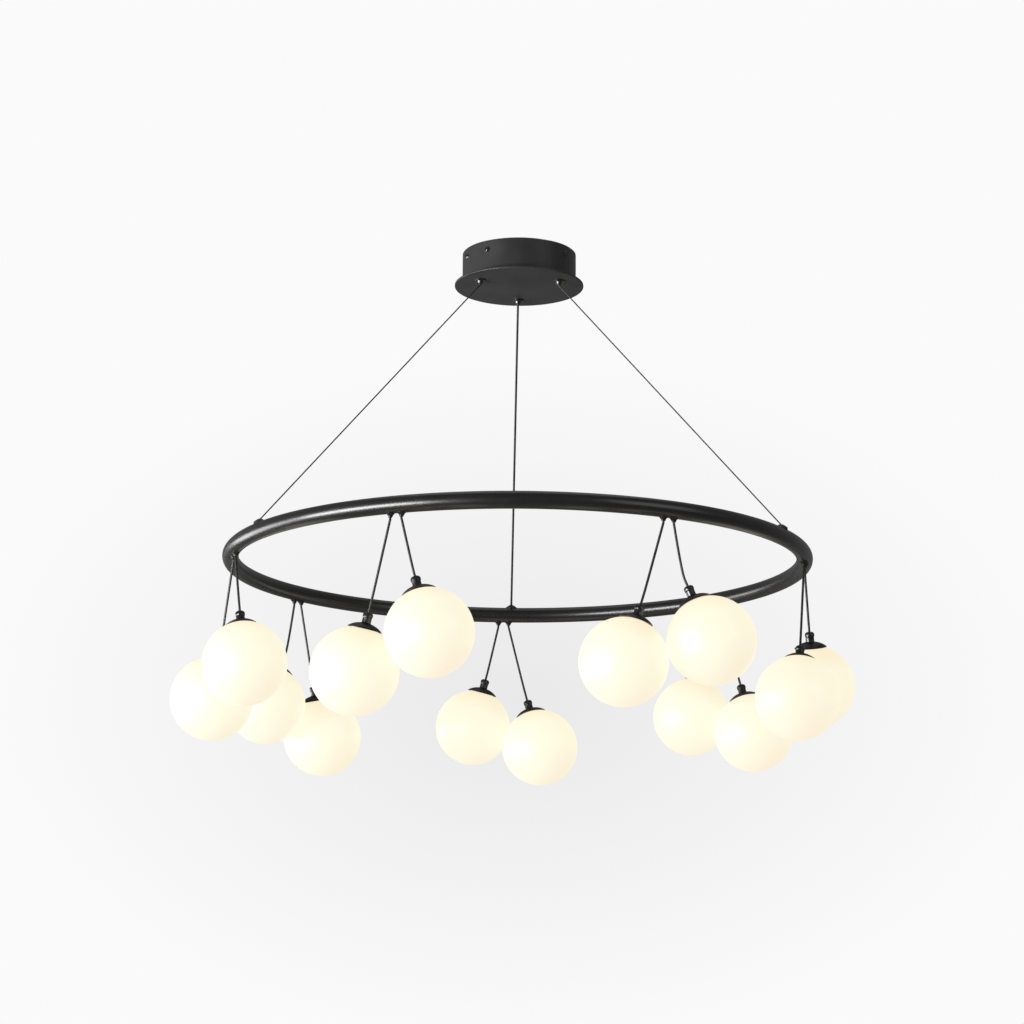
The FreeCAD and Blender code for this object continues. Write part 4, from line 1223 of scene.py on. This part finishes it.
class CHANDELIER_OT_holders(bpy.types.Operator):
    """Make each pendant's neck, cap and threaded sleeve"""
    bl_idname = "chandelier.holders"
    bl_label = "Lamp holders"

    def execute(self, context):
        sizes, lines, lamp = settings("holder"), settings("lines"), settings("lamp")
        bore = lines.cord_diameter / 2 + lines.clearance
        sleeve = sleeve_outline(sizes, lamp)
        grooves = thread(sleeve, sizes.sleeve_diameter / 2 - sizes.edge, sizes.thread_pitch,
                         sizes.thread_depth, sizes.sleeve_bottom + sizes.edge / 2, sizes.cap_rim)
        on_each_pendant({
            "neck": (turned(neck_outline(sizes, bore), HOLDER_SIDES, closed=True), gloss_black_fittings),
            "cap": (turned(cap_outline(sizes), CAP_SIDES, closed=True), semi_gloss_black_fittings),
            "sleeve": (turned(sleeve, CAP_SIDES, ripple=grooves), semi_gloss_black_fittings),
        })
        return {"FINISHED"}


def base_outline(sizes, top, foot):
    """Moulded base with a rounded lower edge."""
    radius, rib = sizes.diameter / 2, sizes.rib_depth
    return np.vstack((
        ((0, top),),
        column(radius, top, foot + 3 * rib, LAMP_END_STEPS),
        rounded(((radius, foot + 2 * rib), (radius, foot, rib), (0, foot))),
    ))


def envelope_outline(sizes, foot, middle):
    """Clear shell with a round end about middle, and its mouth in the base."""
    glass = sizes.diameter / 2 - sizes.rib_depth
    inside = glass - sizes.glass_wall
    mouth = foot + sizes.rib_depth
    return np.vstack((
        between((0, middle - inside), (inside, middle), (0, middle), LAMP_STEPS),
        ((inside, mouth), (glass, mouth)),
        between((glass, middle), (0, middle - glass), (0, middle), LAMP_STEPS),
    ))


def post_outline(sizes, foot, middle):
    """Lit post with a blunt point, inside the envelope."""
    post = sizes.post_diameter / 2
    return rounded((
        (0, foot), (post, foot), (post, middle, post * POST_EDGE), (0, middle - post * POST_POINT),
    ), LAMP_END_STEPS)


class CHANDELIER_OT_lamps(bpy.types.Operator):
    """Make the capsule lamp inside each globe"""
    bl_idname = "chandelier.lamps"
    bl_label = "Lamps"

    def execute(self, context):
        sizes, holder = settings("lamp"), settings("holder")
        top = holder.sleeve_bottom + holder.socket_depth
        foot = top - sizes.base_length
        middle = top - sizes.length + (sizes.diameter / 2 - sizes.rib_depth)
        base = base_outline(sizes, top, foot)
        grooves = ribs(BASE_RIBS, sizes.rib_depth, foot + sizes.rib_depth, holder.sleeve_bottom)
        on_each_pendant({
            "lamp_base": (turned(base, HOLDER_SIDES, ripple=grooves), glazed_lamp_base),
            "lamp_envelope": (turned(envelope_outline(sizes, foot, middle), HOLDER_SIDES), clear_lamp_glass),
            "lamp_post": (turned(post_outline(sizes, foot, middle), HOLDER_SIDES), lit_phosphor),
        })
        return {"FINISHED"}


def globe_outline(sizes, holder):
    """Shell of a blown sphere, from the cavity's foot up the inside, round the turned-in collar and the
    edge of the opening, and down the outside."""
    outer = sizes.diameter / 2
    inner = outer - sizes.wall
    opening = holder.sleeve_diameter / 2 + sizes.clearance
    collar = opening + sizes.collar_wall
    edge = math.sqrt(outer ** 2 - opening ** 2)
    collar_top = math.sqrt(inner ** 2 - collar ** 2)
    low = edge - sizes.collar_depth
    inside = between((0, -inner), (inner, 0), (0, 0), GLOBE_STEPS)
    inside_top = between((inner, 0), (collar, collar_top), (0, 0), GLOBE_STEPS)[1:]
    lip = rounded((
        (collar, collar_top), (collar, low, sizes.edge), (opening, low, sizes.edge),
        (opening, edge, sizes.edge),
        (outer * math.sin(LIP_TOWARDS), outer * math.cos(LIP_TOWARDS)),
    ))[1:-1]
    first = math.atan2(opening + sizes.edge, edge)
    turn = np.linspace(first, math.pi, 2 * GLOBE_STEPS)
    outside = outer * np.column_stack((np.sin(turn), np.cos(turn)))
    outside[-1, 0] = 0
    return np.vstack((inside, inside_top, lip, outside))


class CHANDELIER_OT_globes(bpy.types.Operator):
    """Make the opal globes"""
    bl_idname = "chandelier.globes"
    bl_label = "Globes"

    def execute(self, context):
        sizes, holder = settings("globe"), settings("holder")
        shell = turned(globe_outline(sizes, holder), GLOBE_SIDES)
        heights = shell[0][:, 2]
        rise = (heights - heights.min()) / np.ptp(heights)
        for pendant in pendants(sizes):
            key = pendant["name"]
            piece("opal_" + key, stand(shell, pendant["centre"], pendant["axis"]), shared(opal_glass),
                  "glass_" + key, ["globe_" + key], attributes={"rise": rise})
        return {"FINISHED"}


# ---- parts that keep their CAD shape -------------------------------------------------------------
class CHANDELIER_OT_inner_parts(bpy.types.Operator):
    """Finish the ceiling plate, screws, nuts and terminal block, and make the lead in the canopy"""
    bl_idname = "chandelier.inner_parts"
    bl_label = "Inner parts"

    def execute(self, context):
        for node, finish in (
                ("ceiling_plate", zinc_plating), ("gripper_nuts", zinc_plating),
                ("side_screws", gloss_black_fittings), ("terminal_block", moulded_terminal_plastic)):
            for slot in frame["nodes"][node].material_slots:
                slot.material = shared(finish)
        sizes = settings("lines")
        feed = gripper_centre("feed")
        start = (feed[1], feed[2] + LEAD_START)
        end = (LEAD_END, box("terminal_block")[1][2])
        route = np.array([(0.0, *place) for place in (start, *LEAD_ROUTE, end)])
        across = np.array((1.0, 0.0, 0.0))
        lead = swept(smooth_line(route, CORD_STEPS), across, sizes.cord_diameter / 2, CORD_SIDES)
        piece("lead_in_canopy", lead, shared(black_cord_sheath), "canopy", ["canopy_lead"])
        return {"FINISHED"}


# ---- add-on --------------------------------------------------------------------------------------
GROUPS = {
    "canopy": CanopySizes, "gripper": GripperSizes, "lines": LineSizes, "ring": RingSizes,
    "holder": HolderSizes, "globe": GlobeSizes, "lamp": LampSizes, "finishes": Finishes,
    "stage": StageSettings,
}
OPERATORS = (
    CHANDELIER_OT_stage, CHANDELIER_OT_cords, CHANDELIER_OT_canopy, CHANDELIER_OT_grippers,
    CHANDELIER_OT_ring, CHANDELIER_OT_holders, CHANDELIER_OT_lamps, CHANDELIER_OT_globes,
    CHANDELIER_OT_inner_parts,
)


class CHANDELIER_PT_sidebar(bpy.types.Panel):
    """Lists the chandelier's operators and settings"""
    bl_label = "Orb chandelier"
    bl_idname = "CHANDELIER_PT_sidebar"
    bl_space_type = "VIEW_3D"
    bl_region_type = "UI"
    bl_category = "Chandelier"

    def draw(self, context):
        for operator in OPERATORS:
            self.layout.operator(operator.bl_idname)
        for name, group in GROUPS.items():
            held = settings(name)
            rows = self.layout.box().column()
            rows.label(text=name.capitalize())
            for label in group.__annotations__:
                rows.prop(held, label)


def register():
    """Add the settings, the operators and the panel to Blender."""
    for kind in (*GROUPS.values(), *OPERATORS, CHANDELIER_PT_sidebar):
        bpy.utils.register_class(kind)
    for name, group in GROUPS.items():
        setattr(bpy.types.Scene, "chandelier_" + name, bpy.props.PointerProperty(type=group))


def unregister():
    """Take them out again, in the opposite order."""
    for name in GROUPS:
        delattr(bpy.types.Scene, "chandelier_" + name)
    for kind in reversed((*GROUPS.values(), *OPERATORS, CHANDELIER_PT_sidebar)):
        bpy.utils.unregister_class(kind)


def main():
    """Build the stage and the lamp."""
    register()
    bpy.ops.chandelier.stage()
    bpy.ops.chandelier.cords()
    bpy.ops.chandelier.canopy()
    bpy.ops.chandelier.grippers()
    bpy.ops.chandelier.ring()
    bpy.ops.chandelier.holders()
    bpy.ops.chandelier.lamps()
    bpy.ops.chandelier.globes()
    bpy.ops.chandelier.inner_parts()


if __name__ == "__main__":
    main()
